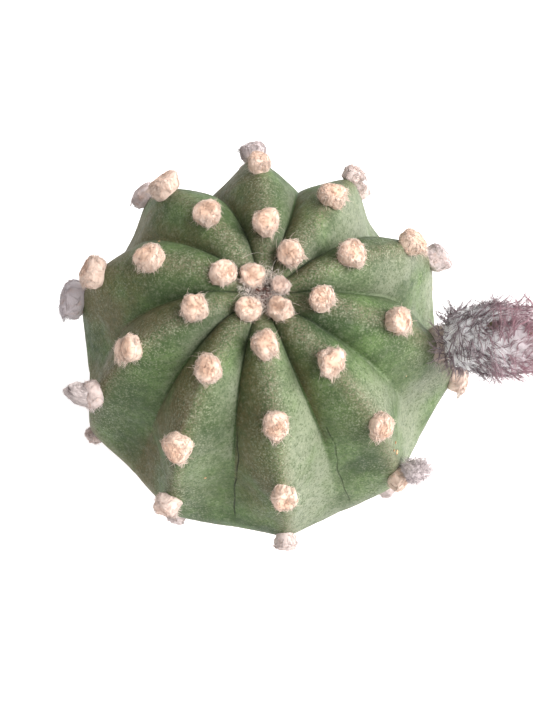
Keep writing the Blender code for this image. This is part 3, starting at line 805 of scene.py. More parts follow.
def cushion_at(rng, centre, normal, down, size, grey):
    """A cushion whose beard hangs towards the front and a little down the rib."""
    hang = unit(np.array(HANG)) + HANG_DOWN_RIB * down
    hang = unit(hang - normal * (hang @ normal))
    return Cushion(centre, normal, hang, np.cross(normal, hang), size, rng.normal(size=(3, 5)) * 2.2,
                   rng.uniform(0, math.tau, 5), min(grey, 1.0))


def areole_cushion(rng, rib, number):
    centre, normal, down, _ = skin_frame(areole_length(rib, number), rib)
    size = OLD_WOOL if number >= OLD_AREOLE else rng.uniform(0.94, 1.06)
    size = WOOL_SIZES.get((rib, number), size)
    grey = GREY_WOOL.get((rib, number), 0.02 if number < 3 else 0.25 + 0.12 * number)
    return cushion_at(rng, centre, normal, down, size, grey)


def ring_by_ring(numbers):
    """One number for each step of each hair, handed to the three corners of its ring, or to its tip."""
    return np.concatenate([np.repeat(numbers[:, :-1], 3, axis=1), numbers[:, -1:]], 1).reshape(-1)


def strands(name, paths, thickness, **values):
    """One mesh of fine three-sided hairs. Each hair follows its row of points and ends in a point."""
    count, steps, _ = paths.shape
    along = unit(np.gradient(paths, axis=1))
    aside = unit(np.cross(along, np.array([0.32, 0.51, 0.80])) + 1e-9)
    beside = np.cross(along, aside)
    share = np.linspace(0, 1, steps)
    girth = np.asarray(thickness).reshape(-1, 1) * (1 - 0.8 * share ** 2)
    corners = []
    for corner in range(3):
        turn = math.tau * corner / 3
        corners.append(paths + (aside * math.cos(turn) + beside * math.sin(turn)) * girth[..., None])
    rings = np.stack(corners, 2)[:, :-1].reshape(count, -1, 3)
    points = np.concatenate([rings, paths[:, -1:]], 1)
    start = np.arange(count)[:, None] * points.shape[1]
    first = (start + np.arange(steps - 2) * 3).reshape(-1, 1)
    last = start + (steps - 2) * 3
    tip = np.broadcast_to(start + points.shape[1] - 1, (count, 3))
    corner, after = np.array([0, 1, 2]), np.array([1, 2, 0])
    sides = np.stack([first + corner, first + after, first + 3 + after, first + 3 + corner], -1)
    tips = np.stack([last + corner, last + after, tip], -1)
    faces = [*sides.reshape(-1, 4).tolist(), *(start + [0, 2, 1]).tolist(), *tips.reshape(-1, 3).tolist()]
    mesh = bpy.data.meshes.new(name)
    mesh.from_pydata(points.reshape(-1, 3).tolist(), [], faces)
    mesh.polygons.foreach_set("use_smooth", np.ones(len(mesh.polygons), bool))
    for key, numbers in values.items():
        numbers = np.asarray(numbers, float).reshape(count, -1)
        store(mesh, **{key: ring_by_ring(np.broadcast_to(numbers, (count, steps)))})
    hairs = bpy.data.objects.new(name, mesh)
    bpy.context.scene.collection.objects.link(hairs)
    return hairs


def side_ways(around, out):
    """Directions from a cushion's middle, by the turn from its beard and how far out they point."""
    flat = np.sqrt(1 - out ** 2)
    return np.stack([flat * np.cos(around), flat * np.sin(around), out], -1)


def felt_paths(cushion, rng, locks):
    """Short curls of matted wool that lie over a cushion, with their tints and how far out they start."""
    lock = np.repeat(np.arange(locks), LOCK_FIBRES)
    count = len(lock)
    out = rng.uniform(-0.25, 1.0, locks)[lock]
    start = unit(side_ways(rng.uniform(0, math.tau, locks)[lock], out) + rng.normal(0, 0.03, (count, 3)))
    heading = rng.normal(size=(locks, 3))[lock] + rng.normal(0, 0.15, (count, 3))
    heading = unit(heading - start * (heading * start).sum(-1, keepdims=True))
    sweep = rng.uniform(0.25, 0.75, locks)[lock] * rng.uniform(0.8, 1.1, count)
    bend = rng.normal(0, 1.6, locks)[lock]
    height = rng.uniform(0.02, 0.13, locks)[lock]
    paths = []
    for share in np.linspace(0, 1, FIBRE_STEPS):
        angle = (sweep * share)[:, None]
        ways = start * np.cos(angle) + heading * np.sin(angle)
        ways = unit(ways + np.cross(ways, heading) * (bend * share ** 2)[:, None] * 0.3)
        ways[:, 2] = np.maximum(ways[:, 2], -0.35)
        loft = height * math.sin(math.pi * (0.15 + 0.85 * share)) - 0.01
        paths.append(cushion_surface(cushion, ways, loft))
    tints = np.clip(rng.random(locks)[lock] + rng.normal(0, 0.12, count), 0, 1)
    return np.stack(paths, 1), tints, np.clip(out, 0, 1)


def bending(root, heading, towards, reach, steps=FIBRE_STEPS):
    """Paths of fibres that set off along their heading and bend towards another way as they go."""
    share = np.linspace(0, 1, steps)[None, :, None]
    return root[:, None] + reach[:, None, None] * (heading[:, None] * share + towards[:, None] * share ** 2)


def loose_paths(cushion, rng, around, out, reach, wild):
    """Fibres that leave a cushion's side and curl down towards the skin as they go."""
    count = len(around)
    ways = side_ways(around, out)
    root = cushion_surface(cushion, ways, -0.05)
    axes = np.array([cushion.hang, cushion.across, cushion.normal])
    heading = unit(ways * [1, 1, 0.4] + rng.normal(0, wild, (count, 3)) * [1, 1, 0.5]) @ axes
    curl = np.cross(heading, cushion.normal) * rng.normal(0, 0.9, (count, 1))
    pull = cushion.hang * 0.30 - cushion.normal * 0.30
    return bending(root, heading, (pull + curl) * 0.7, reach)


def wisp_paths(cushion, rng, around, reach, droop):
    """Fibres that gather into one point, as the wool of a beard or a corner does."""
    count = WISP_FIBRES
    way = side_ways(np.array([around]), np.array([0.10]))
    axes = np.array([cushion.hang, cushion.across, cushion.normal])
    heading = unit(way[0] * [1, 1, 0] + np.array([droop, 0, -0.15])) @ axes
    tip = cushion_surface(cushion, way)[0] + heading * reach
    ways = side_ways(around + rng.normal(0, 0.33, count), rng.uniform(-0.1, 0.6, count))
    root = cushion_surface(cushion, ways)
    ends = tip + rng.normal(0, WISP_SCATTER, (count, 3)) - heading * rng.uniform(0, 0.5, (count, 1)) * reach
    bow = rng.normal(0, WISP_BOW, (count, 3)) + cushion.normal * WISP_BOW
    share = np.linspace(0, 1, FIBRE_STEPS)[None, :, None]
    return root[:, None] * (1 - share) + ends[:, None] * share + bow[:, None] * np.sin(math.pi * share)


def woolly(name, cushions, rng, density=1.0):
    """The fibres of several cushions, in one mesh: matted curls, a short fringe, wisps and strays."""
    fringe_count = round(FRINGE_FIBRES * density)
    paths, girths, tints, greys, middles = [], [], [], [], []
    for cushion in cushions:
        felt, felt_tints, out = felt_paths(cushion, rng, round(LOCKS_PER_PAD * density * cushion.size))
        fringe = loose_paths(cushion, rng, rng.uniform(0, math.tau, fringe_count),
                             rng.uniform(-0.25, 0.5, fringe_count),
                             rng.uniform(*FRINGE_LENGTH, fringe_count) * MM * cushion.size, 0.7)
        wisps = [wisp_paths(cushion, rng, rng.normal(0, 0.6),
                            rng.uniform(*BEARD_LENGTH) * MM * cushion.size, 0.6) for _ in range(BEARD_WISPS)]
        wisps += [wisp_paths(cushion, rng, rng.uniform(0, math.tau),
                             rng.uniform(*CORNER_LENGTH) * MM * cushion.size, 0) for _ in range(CORNER_WISPS)]
        stray = loose_paths(cushion, rng, rng.uniform(0, math.tau, STRAY_FIBRES),
                            rng.uniform(0, 0.9, STRAY_FIBRES),
                            rng.uniform(*STRAY_LENGTH, STRAY_FIBRES) * MM, 0.5)
        added = [felt, fringe, *wisps, stray]
        total = sum(len(rows) for rows in added)
        girth = rng.uniform(*FELT_GIRTH, total) * MM
        girth[len(felt):] = rng.uniform(*LOOSE_GIRTH, total - len(felt)) * MM
        paths += added
        girths.append(girth)
        tints.append(np.concatenate([felt_tints, rng.uniform(0.4, 1.0, total - len(felt))]))
        greys.append(np.full(total, cushion.grey))
        middles.append(np.concatenate([out ** 3, np.zeros(total - len(felt))]))
    return strands(name, np.concatenate(paths), np.concatenate(girths), tint=np.concatenate(tints),
                   grey=np.concatenate(greys), middle=np.concatenate(middles))


def pad_core(cushion, seed, segments=36, rings=22):
    """The felted body of one cushion."""
    pad, ways = ball("pad", segments=segments, ring_count=rings)
    fuzz = 0.05 * uneven(ways * 2.6 + 7 * seed, 1.0) + 0.05 * uneven(ways * 8.5 + seed, 1.0)
    move_points(pad.data, cushion_surface(cushion, ways, fuzz))
    # The pad's tint is low in the dips of its felt, where the wool material paints it darker, as painted
    # shade.
    store(pad.data, grey=np.full(len(ways), cushion.grey), middle=np.clip(ways[:, 2], 0, 1) ** 3,
          tint=np.clip(0.25 + 5 * fuzz, 0, 1))
    return pad


lowest = POT_HEIGHT + WOOL_OVER_RIM * WOOL_ALONG
rng = np.random.default_rng(5)
upper, middle, lower = [], [], []
for rib in range(RIBS):
    for number in range(AREOLES):
        cushion = areole_cushion(rng, rib, number)
        if cushion.centre[2] > lowest and (rib, number) != (BUD_RIB, BUD_AREOLE):
            (upper, upper, middle, lower, lower, lower)[number].append(cushion)
pads = joined("areole_pads", [pad_core(cushion, seed) for seed, cushion in enumerate(upper + middle + lower)])
bpy.ops.object.shade_smooth()

wool, shader, coords = new_material("areole_wool", 0.95, Specular_IOR_Level=0.1, Sheen_Weight=0.2)
tint = read(coords, "tint")
clot = ramp(rough(coords, 420, 4), 0.30, 0.60, 0.35)
# On the pads a low tint marks the felt's dips, so the darker colour there is painted shade; on the fibres the
# tint differs at random.
fleece = layered(blended(ramp(tint, 0.2, 0.9), CREAM, WHITE_WOOL),
                 (ramp(read(coords, "middle"), 0.1, 0.7), clot, 0.75, PEACH),
                 (1, read(coords, "grey"), 1, LAVENDER),
                 (1, ramp(tint, 0.25, 0.0), 0.6, WOOL_SHADE),
                 (1, ramp(rough(coords, 1500, 4, 0.65, 2.0), 0.52, 0.70), 0.32, WOOL_SHADE))
painted(shader, fleece)
bumped(shader, rough(coords, 1800, 3, 0.65, 2.0), 0.16 * MM)
finish_piece(pads, wool, "areole_wool")
finish_piece(woolly("wool_upper", upper, rng), wool, "areole_wool")
finish_piece(woolly("wool_middle", middle, rng), wool, "areole_wool")
finish_piece(woolly("wool_lower", lower, rng, OLD_WOOL_DENSITY), wool, "areole_wool")

# Growing point. In the sunken middle of the crown new areoles are packed close, small and grey, on
# reddish young skin, with thin hairs across it and one thread of silk from a passing spider.

# Place of each small tuft: mm from the middle, azimuth in degrees, size
CROWN_TUFTS = ((2.9, 62, 0.38), (4.2, 95, 0.42), (2.5, 200, 0.36), (3.6, 262, 0.38), (4.4, 172, 0.40),
               (2.9, 330, 0.38))
CROWN_HAIRS = 1100
CROWN_HAIR_STEPS = 7
# How far from the middle the crown's hairs stand, their length and girth in mm, least and most
CROWN_HAIRS_OUT, CROWN_HAIR_LENGTH, CROWN_HAIR_GIRTH = (0.5, 5.0), (1.0, 3.0), (0.028, 0.046)
TIP_SIZE = (3.4 * MM, 3.0 * MM, 1.1 * MM)
CROWN_BROWN = (0.110, 0.036, 0.024)
CROWN_DARK = (0.030, 0.018, 0.013)
SILK = (0.84, 0.74, 0.67)
SILK_GIRTH = 0.022 * MM
# Line of the silk thread, in mm from the middle of the crown
SILK_LINE = ((-7.4, 3.6, 0.4), (-6.2, 5.6, 1.2), (-4.0, 7.6, 1.8), (-1.4, 8.6, 1.8), (1.0, 8.0, 1.2),
             (2.6, 6.4, 0.2))
SILK_STEPS = 26

crown_middle = stem_surface(np.array([0.0]), np.array([0.0]))[0][0]
crown_cushions = []
for out, around, size in CROWN_TUFTS:
    around = math.radians(around)
    side = np.array([math.cos(around), math.sin(around), 0])
    length = float(np.interp(out * MM, CREST[0], CREST_LENGTHS))
    height = EQUATOR + crest_at(length)[1]
    centre = np.array([crown_middle[0], crown_middle[1], height]) + side * out * MM
    crown_cushions.append(cushion_at(rng, centre, unit(side * 0.3 + [0, 0, 1]), side, size, 0.35))
crown_pads = joined("crown_pads", [pad_core(cushion, seed + 90, 18, 12)
                                   for seed, cushion in enumerate(crown_cushions)])
bpy.ops.object.shade_smooth()
finish_piece(crown_pads, wool, "areole_wool")
finish_piece(woolly("crown_wool", crown_cushions, rng), wool, "areole_wool")

tip, shape = ball("growing_tip", subdivisions=4)
shape = shape * (1 + 0.16 * uneven(shape * 3, 1.0) + 0.08 * uneven(shape * 8, 1.0))[:, None]
move_points(tip.data, crown_middle + shape * TIP_SIZE)
bpy.ops.object.shade_smooth()
young_skin = two_tone("young_skin", 0.7, (900, 4, 0.35, 0.65), CROWN_BROWN, CROWN_DARK, (1500, 4, 0.2 * MM))
finish_piece(tip, young_skin, "green_skin")

around = rng.uniform(0, math.tau, CROWN_HAIRS)
out = rng.uniform(*CROWN_HAIRS_OUT, CROWN_HAIRS) * MM
root = crown_middle + np.stack([out * np.cos(around), out * np.sin(around), 0.2 * MM + out * 0.3], -1)
heading = unit(rng.normal(0, 1, (CROWN_HAIRS, 3)) + [0, 0, 1.0])
fall = unit(rng.normal(0, 1, (CROWN_HAIRS, 3)) - [0, 0, 0.6])
reach = rng.uniform(*CROWN_HAIR_LENGTH, CROWN_HAIRS) * MM
paths = bending(root, heading, fall * 0.6 - heading * 0.5, reach, CROWN_HAIR_STEPS)
paths[..., 2] = np.maximum(paths[..., 2], crown_middle[2] + 0.3 * MM)
crown_hairs = strands("crown_hairs", paths, rng.uniform(*CROWN_HAIR_GIRTH, CROWN_HAIRS) * MM,
                      tint=np.clip(out / (2.2 * MM) - 0.25 + rng.normal(0, 0.25, CROWN_HAIRS), 0, 1))
line = crown_middle + np.array(SILK_LINE) * MM
steps = np.linspace(0, len(line) - 1, SILK_STEPS)
thread = np.stack([np.interp(steps, range(len(line)), line[:, axis]) for axis in range(3)], -1)
for _ in range(3):
    thread[1:-1] = (thread[:-2] + thread[1:-1] + thread[2:]) / 3
silk = strands("silk_thread", thread[None], [SILK_GIRTH], tint=[1.0])
fine_hair, shader, coords = new_material("fine_hair", 0.6, Specular_IOR_Level=0.4)
fine_tone = blended(ramp(read(coords, "tint"), 0.30, 0.62), CROWN_DARK, SILK)
painted(shader, fine_tone)
bumped(shader, rough(coords, 3000, 2), 0.02 * MM)
finish_piece(crown_hairs, fine_hair, "areole_wool")
finish_piece(silk, fine_hair, "areole_wool")

# Young bud. A new flower bud, still a fuzzy grey ball, on the fourth areole of the rib at the right
# of the front. It grows out of its cushion and is covered all over with short soft hair.
YOUNG_RADIUS = 2.7 * MM
YOUNG_LENGTH = 7.0 * MM
YOUNG_OFFSET = 4.0 * MM
YOUNG_LEAN = 1.2
YOUNG_RISE = 1.0
YOUNG_HAIRS = 900
YOUNG_FULLNESS = 0.92
# Length and girth of its hairs in mm, least and most
YOUNG_HAIR_LENGTH, YOUNG_HAIR_GIRTH = (0.8, 2.4), (0.038, 0.062)
YOUNG_GREY = (0.38, 0.315, 0.325)
YOUNG_PALE = (0.80, 0.71, 0.71)

centre, normal, down, across = skin_frame(areole_length(YOUNG_RIB, YOUNG_AREOLE), YOUNG_RIB)
way = unit(normal + across * YOUNG_LEAN - down * YOUNG_RISE)
young_middle = centre + way * YOUNG_OFFSET


def on_young_bud(ways):
    """Points of the young bud for directions from its middle."""
    longer = YOUNG_LENGTH / 2 - YOUNG_RADIUS
    return young_middle + ways * YOUNG_RADIUS + way * (ways @ way)[:, None] * longer


young, shape = ball("young_bud", subdivisions=5)
lumps = 0.09 * uneven(shape * 3, 1.0) + 0.07 * uneven(shape * 7, 1.0)
move_points(young.data, on_young_bud(shape * (YOUNG_FULLNESS + lumps)[:, None]))
# The tint is low in the dips of the bud's lumps, so these are painted greyer and darker, as painted shade.
store(young.data, tint=np.clip(0.35 + 3 * lumps, 0, 1))
bpy.ops.object.shade_smooth()
ways = unit(rng.normal(size=(YOUNG_HAIRS, 3)))
ways = ways[ways @ way > -0.8]
lie = unit(np.cross(ways, rng.normal(size=ways.shape)))
reach = rng.uniform(*YOUNG_HAIR_LENGTH, len(ways)) * (0.8 + 0.5 * (ways @ way)) * MM
paths = bending(on_young_bud(ways * 0.9), unit(ways + 0.7 * lie + 0.5 * way), lie * 0.6, reach)
young_fuzz = strands("young_bud_fuzz", paths, rng.uniform(*YOUNG_HAIR_GIRTH, len(ways)) * MM,
                     tint=rng.random(len(ways)))
fuzz, shader, coords = new_material("young_fuzz", 0.9, Specular_IOR_Level=0.2, Sheen_Weight=0.2)
painted(shader, blended(ramp(read(coords, "tint"), 0.05, 0.6), YOUNG_GREY, YOUNG_PALE))
bumped(shader, rough(coords, 1700, 3, 0.6, 1.0), 0.15 * MM)
finish_piece(young, fuzz, "areole_wool")
finish_piece(young_fuzz, fuzz, "areole_wool")

# Withered flower. The dry stub of a flower that has dropped, a crumpled papery tube that curls back
# over its cushion on the left rib. Its open end and a pit near it are painted dark, as painted shade.
WITHERED_LENGTH = 5.8 * MM
WITHERED_RADIUS = 2.25 * MM
WITHERED_CURL = math.radians(100)
WITHERED_TAPER = 0.12
WITHERED_LIFT = 1.0 * MM
PLEATS = 7
WITHERED_HAIRS = 420
PAPER_PALE = (0.64, 0.56, 0.54)
PAPER_DARK = (0.15, 0.105, 0.10)
# Where the dry tube has a pit near its mouth: share of its length, turn round it, half width
PAPER_PIT = (0.80, math.radians(115), 0.7 * MM)
PAPER_PIT_DEPTH = 0.8 * MM
MOUTH_START = 0.90
MOUTH_DEPTH = 1.6 * MM
# Its hairs: share of the tube they run along, how far off it they stand and their girth in mm
PAPER_HAIR_RUN, PAPER_HAIR_LOFT, PAPER_HAIR_GIRTH = (0.12, 0.35), (0.05, 0.35), (0.03, 0.05)

centre, normal, down, across = skin_frame(areole_length(WITHERED_RIB, WITHERED_AREOLE), WITHERED_RIB)


def on_withered(share, around, lift=0.0):
    """Points of the curled tube by share of its length and turn round it."""
    bend = share * WITHERED_CURL
    spine = np.sin(bend)[:, None] * normal - (1 - np.cos(bend))[:, None] * across
    side = np.sin(bend)[:, None] * normal + np.cos(bend)[:, None] * across
    mouth = np.clip((share - MOUTH_START) / (1 - MOUTH_START), 0, 1) ** 2
    ahead = np.cos(bend)[:, None] * normal - np.sin(bend)[:, None] * across
    place_of = np.stack([3 * share, np.cos(around), np.sin(around)], -1)
    thick = WITHERED_RADIUS * (1 - WITHERED_TAPER * share) * (1 + 0.035 * np.sin(PLEATS * around + 4 * share))
    thick = thick * (1 + 0.20 * uneven(place_of * 1.3, 1.0) + 0.05 * uneven(place_of * 3, 1.0))
    thick = thick * np.sqrt(np.clip(1 - mouth, 0, 1)) * np.clip(share * 12 + 0.1, 0, 1) + lift
    out = np.cos(around)[:, None] * down + np.sin(around)[:, None] * side
    line = centre + normal * WITHERED_LIFT + spine * WITHERED_LENGTH / WITHERED_CURL
    return line - ahead * (mouth * MOUTH_DEPTH)[:, None] + out * thick[:, None]


withered, shape = ball("withered_flower", segments=72, ring_count=54)
share = np.clip((1 - np.arccos(np.clip(shape[:, 2], -1, 1)) / math.pi), 0, 1)
around = np.arctan2(shape[:, 1], shape[:, 0])
around[np.hypot(shape[:, 0], shape[:, 1]) < 1e-6] = 0
beside = (np.mod(around - PAPER_PIT[1] + math.pi, math.tau) - math.pi) * WITHERED_RADIUS
pit = np.exp(-(np.hypot((share - PAPER_PIT[0]) * WITHERED_LENGTH, beside) / PAPER_PIT[2]) ** 2)
move_points(withered.data, on_withered(share, around, -PAPER_PIT_DEPTH * pit))
# The open end and the pit are painted dark brown: painted shade in these hollows.
store(withered.data, mouth=np.maximum(np.clip((share - 0.92) / 0.08, 0, 1), pit),
      tint=np.full(len(share), 0.5))
bpy.ops.object.shade_smooth()
start = rng.uniform(0, 0.75, WITHERED_HAIRS)
around = rng.uniform(0, math.tau, WITHERED_HAIRS)
reach = rng.uniform(*PAPER_HAIR_RUN, WITHERED_HAIRS)
drift = rng.normal(0, 0.35, WITHERED_HAIRS)
loft = rng.uniform(*PAPER_HAIR_LOFT, WITHERED_HAIRS) * MM
paths = []
for step in np.linspace(0, 1, FIBRE_STEPS):
    lift = loft * math.sin(math.pi * (0.1 + 0.6 * step))
    paths.append(on_withered(np.clip(start + reach * step, 0, 0.93), around + drift * step, lift))
girths = rng.uniform(*PAPER_HAIR_GIRTH, WITHERED_HAIRS) * MM
withered_wool = strands("withered_wool", np.stack(paths, 1), girths,
                        mouth=np.zeros(WITHERED_HAIRS), tint=rng.random(WITHERED_HAIRS))
papery, shader, coords = new_material("dry_paper", 0.8, Specular_IOR_Level=0.2)
streaks = ramp(rough(coords, 420, 4, 0.6, 2.0), 0.40, 0.75, 0, 0.38)
painted(shader, layered(blended(streaks, PAPER_PALE, PAPER_DARK),
                        (1, ramp(read(coords, "tint"), 0.35, 0.0), 0.5, PAPER_DARK),
                        (1, read(coords, "mouth"), 1, PAPER_DARK)))
bumped(shader, rough(coords, 1500, 4, 0.6, 1.0), 0.15 * MM)
finish_piece(withered, papery, "areole_wool")
finish_piece(withered_wool, papery, "areole_wool")

# Flower bud. A tube of green skin on the third areole of its rib, set with narrow scales and wrapped
# in hair that grows from their axils: white wool underneath, grey locks over it, pink at the tip.
BUD_RISE = 38.0
BUD_TURN = -5.0
BUD_ASIDE = 2.8 * MM
SEAT_HEIGHT = 3.0 * MM
SEAT_RADIUS = 4.5 * MM
SEAT_ASIDE = 1.1 * MM
SEAT_FLATNESS = 0.45
CLEARANCE = 0.3 * MM
BUD_LENGTH = 26 * MM
BUD_RADIUS = 7.8 * MM
BUD_FOOT_RADIUS = 5.4 * MM
BUD_WIDEST = 0.38
TUBE_SHARE = 0.80
TUBE_STATIONS = 40
FLEECE_SHARE = 0.93
# Where the fleece parts and bares the tube: share of the bud's length, turn, half width
PARTING = (0.44, math.radians(90), 1.6 * MM)
PARTING_DEPTH = 1.8 * MM
TIP_RADIUS = 0.9 * MM
TUBE_STEPS = 48
TUBE_LUMP, TUBE_LUMP_SIZE = 0.05, 4 * MM
SCALE_ROWS = 8
SCALES_PER_ROW = 9
SCALE_LENGTH = 5.0 * MM
SCALE_WIDTH = 1.3 * MM
SCALE_LEAN = math.radians(9)
LOCKS = 1550
LOCK_HAIRS = 3
FLOW_SIZE = 4.6 * MM
FLARING_LOCKS = 0.40
LOCK_SPREAD = 0.11 * MM
# Length of the hairs, how far their ends lift off and their girth in mm, least and most
LONG_HAIRS, FOOT_HAIRS = (4.0, 7.5), (1.5, 3.5)
LYING_LIFT, FLARING_LIFT = (0.3, 1.3), (1.8, 3.6)
HAIR_GIRTH, SKIRT_GIRTH = (0.045, 0.075), (0.030, 0.050)
HAIR_ROOT_DEPTH = 0.3 * MM
FLEECE_PUFF, FLEECE_PUFF_SIZE = 0.50 * MM, 1.6 * MM
FLEECE_CURL, FLEECE_CURL_SIZE = 0.25 * MM, 0.7 * MM
HAIR_STEPS = 7
STRAY_HAIRS = 260
SKIRT_HAIRS = 1900
SKIRT_STEPS = 5
SKIRT_PULL = np.array([0, -0.25, -0.2])
SKIRT_GREYNESS = (0.25, 0.7)
BUD_GREEN = (0.21, 0.20, 0.09)
BUD_BROWN = (0.19, 0.135, 0.085)
HAIR_GREY = (0.30, 0.225, 0.245)
HAIR_DARK = (0.145, 0.102, 0.115)
HAIR_WHITE = (0.76, 0.72, 0.74)
HAIR_PINK = (0.52, 0.26, 0.31)
FLEECE_PINK = (0.60, 0.42, 0.46)
UNDERWOOL = (0.93, 0.92, 0.93)
# The underwool glows a little, as painted light that stands in for light passing through the wool.
UNDERWOOL_PAINTED_GLOW = 0.12


def bud_radius(share):
    """Radius of the bud at a share of its length: blunt at its foot, rounded at its tip."""
    share = np.clip(share, 0, 1)
    swell = np.sqrt(np.clip(1 - (1 - share / BUD_WIDEST) ** 2, 0, 1))
    narrowing = 1 - (np.clip(share - BUD_WIDEST, 0, 1) / (1 - BUD_WIDEST)) ** 2.4
    foot = BUD_FOOT_RADIUS + (BUD_RADIUS - BUD_FOOT_RADIUS) * swell
    return np.where(share < BUD_WIDEST, foot, BUD_RADIUS * np.clip(narrowing, 0, 1) ** 0.6)


def bud_pose():
    """The matrix that stands the bud on its areole, in the direction it grows."""
    radius, height = crest_at(areole_length(BUD_RIB, BUD_AREOLE))[:2]
    azimuth = azimuth_at(np.array(BUD_RIB), radius)
    aside = Vector((-math.sin(azimuth), math.cos(azimuth), 0)) * BUD_ASIDE
    centre = Vector(place(radius, height, azimuth)) + aside
    turn = azimuth + math.radians(BUD_TURN)
    rise = math.radians(BUD_RISE)
    axis = Vector((math.cos(rise) * math.cos(turn), math.cos(rise) * math.sin(turn), math.sin(rise)))
    foot = centre + axis * (SEAT_HEIGHT + CLEARANCE)
    return Matrix.Translation(foot) @ axis.to_track_quat("Z", "Y").to_matrix().to_4x4(), centre, axis


def stand(points, pose):
    """Points of the upright bud carried to where it grows."""
    turned_to = np.array(pose)
    return points @ turned_to[:3, :3].T + turned_to[:3, 3]


pose, bud_foot, bud_axis = bud_pose()
shares = np.linspace(0.004, 0.996, TUBE_STATIONS)
tube_line = [(float(bud_radius(share)) * TUBE_SHARE, BUD_LENGTH * share) for share in shares]
tube, bud_points = turned("bud_tube", TUBE_STEPS, tube_line)
bud_points[:, :2] *= (1 + TUBE_LUMP * uneven(bud_points, TUBE_LUMP_SIZE))[:, None]
move_points(tube.data, stand(bud_points, pose))
bpy.ops.object.shade_smooth_by_angle(angle=math.radians(60))
tube_skin = two_tone("bud_tube_skin", 0.6, (320, 4, 0.38, 0.62), BUD_GREEN, BUD_BROWN, (900, 4, 0.15 * MM))
finish_piece(tube, tube_skin, "bud_wool", "flower_bud")

bpy.ops.object.select_all(action="DESELECT")
bpy.ops.mesh.primitive_cone_add(vertices=8, radius1=1, radius2=0.12, depth=1)
scale = bpy.context.object
bpy.ops.object.mode_set(mode="EDIT")
for height in (-0.25, 0.0, 0.25):
    bpy.ops.mesh.select_all(action="SELECT")
    bpy.ops.mesh.bisect(plane_co=(0, 0, height), plane_no=(0, 0, 1))
bpy.ops.object.mode_set(mode="OBJECT")
scale_points = points_of(scale.data)
along = scale_points[:, 2] + 0.5
scale_points = np.stack([scale_points[:, 0] * 0.25 - 0.35 * along ** 2, scale_points[:, 1], along], -1)
scales = []
for row in range(SCALE_ROWS):
    share = 0.10 + 0.80 * row / (SCALE_ROWS - 1)
    for number in range(SCALES_PER_ROW - 3 * (row == SCALE_ROWS - 1)):
        around = math.tau * (number + 0.5 * (row % 2) + rng.normal(0, 0.10)) / SCALES_PER_ROW
        lean = SCALE_LEAN * (1.2 - share)
        turn = np.array(Matrix.Rotation(around, 3, "Z") @ Matrix.Rotation(lean, 3, "Y"))
        base = float(bud_radius(share)) * TUBE_SHARE * 0.95
        root = np.array([base * math.cos(around), base * math.sin(around), BUD_LENGTH * share])
        piece = copied(scale)
        shape = scale_points * (SCALE_WIDTH * 1.4, SCALE_WIDTH, SCALE_LENGTH * rng.uniform(0.85, 1.1))
        move_points(piece.data, stand(shape @ turn.T + root, pose))
        scales.append(piece)
bpy.data.objects.remove(scale)
bud_scales = joined("bud_scales", scales)
bpy.ops.object.shade_smooth()
finish_piece(bud_scales, tube_skin, "bud_wool", "flower_bud")

fleece, shape = ball("bud_fleece", segments=110, ring_count=84)
share = np.clip((shape[:, 2] + 1) / 2, 0.003, 0.997)
around = np.arctan2(shape[:, 1], shape[:, 0])
flat = np.stack([np.cos(around), np.sin(around), np.zeros(len(around))], -1)
on_axis = np.abs(shape[:, 2]) > 0.9999
fleece_points = flat * (bud_radius(share) * FLEECE_SHARE)[:, None]
fleece_points[:, 2] = BUD_LENGTH * share
from_parting = np.hypot((share - PARTING[0]) * BUD_LENGTH,
                        (np.mod(around - PARTING[1] + math.pi, math.tau) - math.pi) * bud_radius(share))
puff = FLEECE_PUFF * uneven(fleece_points, FLEECE_PUFF_SIZE)
puff += FLEECE_CURL * uneven(fleece_points, FLEECE_CURL_SIZE)
puff -= PARTING_DEPTH * np.exp(-(from_parting / PARTING[2]) ** 2)
fleece_points += flat * puff[:, None]
fleece_points[on_axis, :2] = 0
move_points(fleece.data, stand(fleece_points, pose))
store(fleece.data, warmth=np.clip((share - 0.45) * 2.2, 0, 1))
bpy.ops.object.shade_smooth()
underwool, shader, coords = new_material("pale_underwool", 0.9, Sheen_Weight=0.3,
                                         Emission_Color=(1, 1, 1, 1), Emission_Strength=UNDERWOOL_PAINTED_GLOW)
pale = blended(ramp(rough(coords, 900, 4, 0.6, 3.0), 0.58, 0.85), UNDERWOOL, HAIR_GREY)
pale = blended(read(coords, "warmth"), pale, FLEECE_PINK)
painted(shader, pale)
bumped(shader, rough(coords, 1500, 3, 0.6, 3.0), 0.2 * MM)
finish_piece(fleece, underwool, "bud_wool", "flower_bud")


def hair_flow(level, around, side):
    """From -1 to 1, alike for hairs that grow near each other, so that they flow together."""
    radius = float(bud_radius(level))
    spot = Vector((radius * math.cos(around), radius * math.sin(around), BUD_LENGTH * level))
    return 2 * noise.noise(spot / FLOW_SIZE + Vector((0, 0, side)))


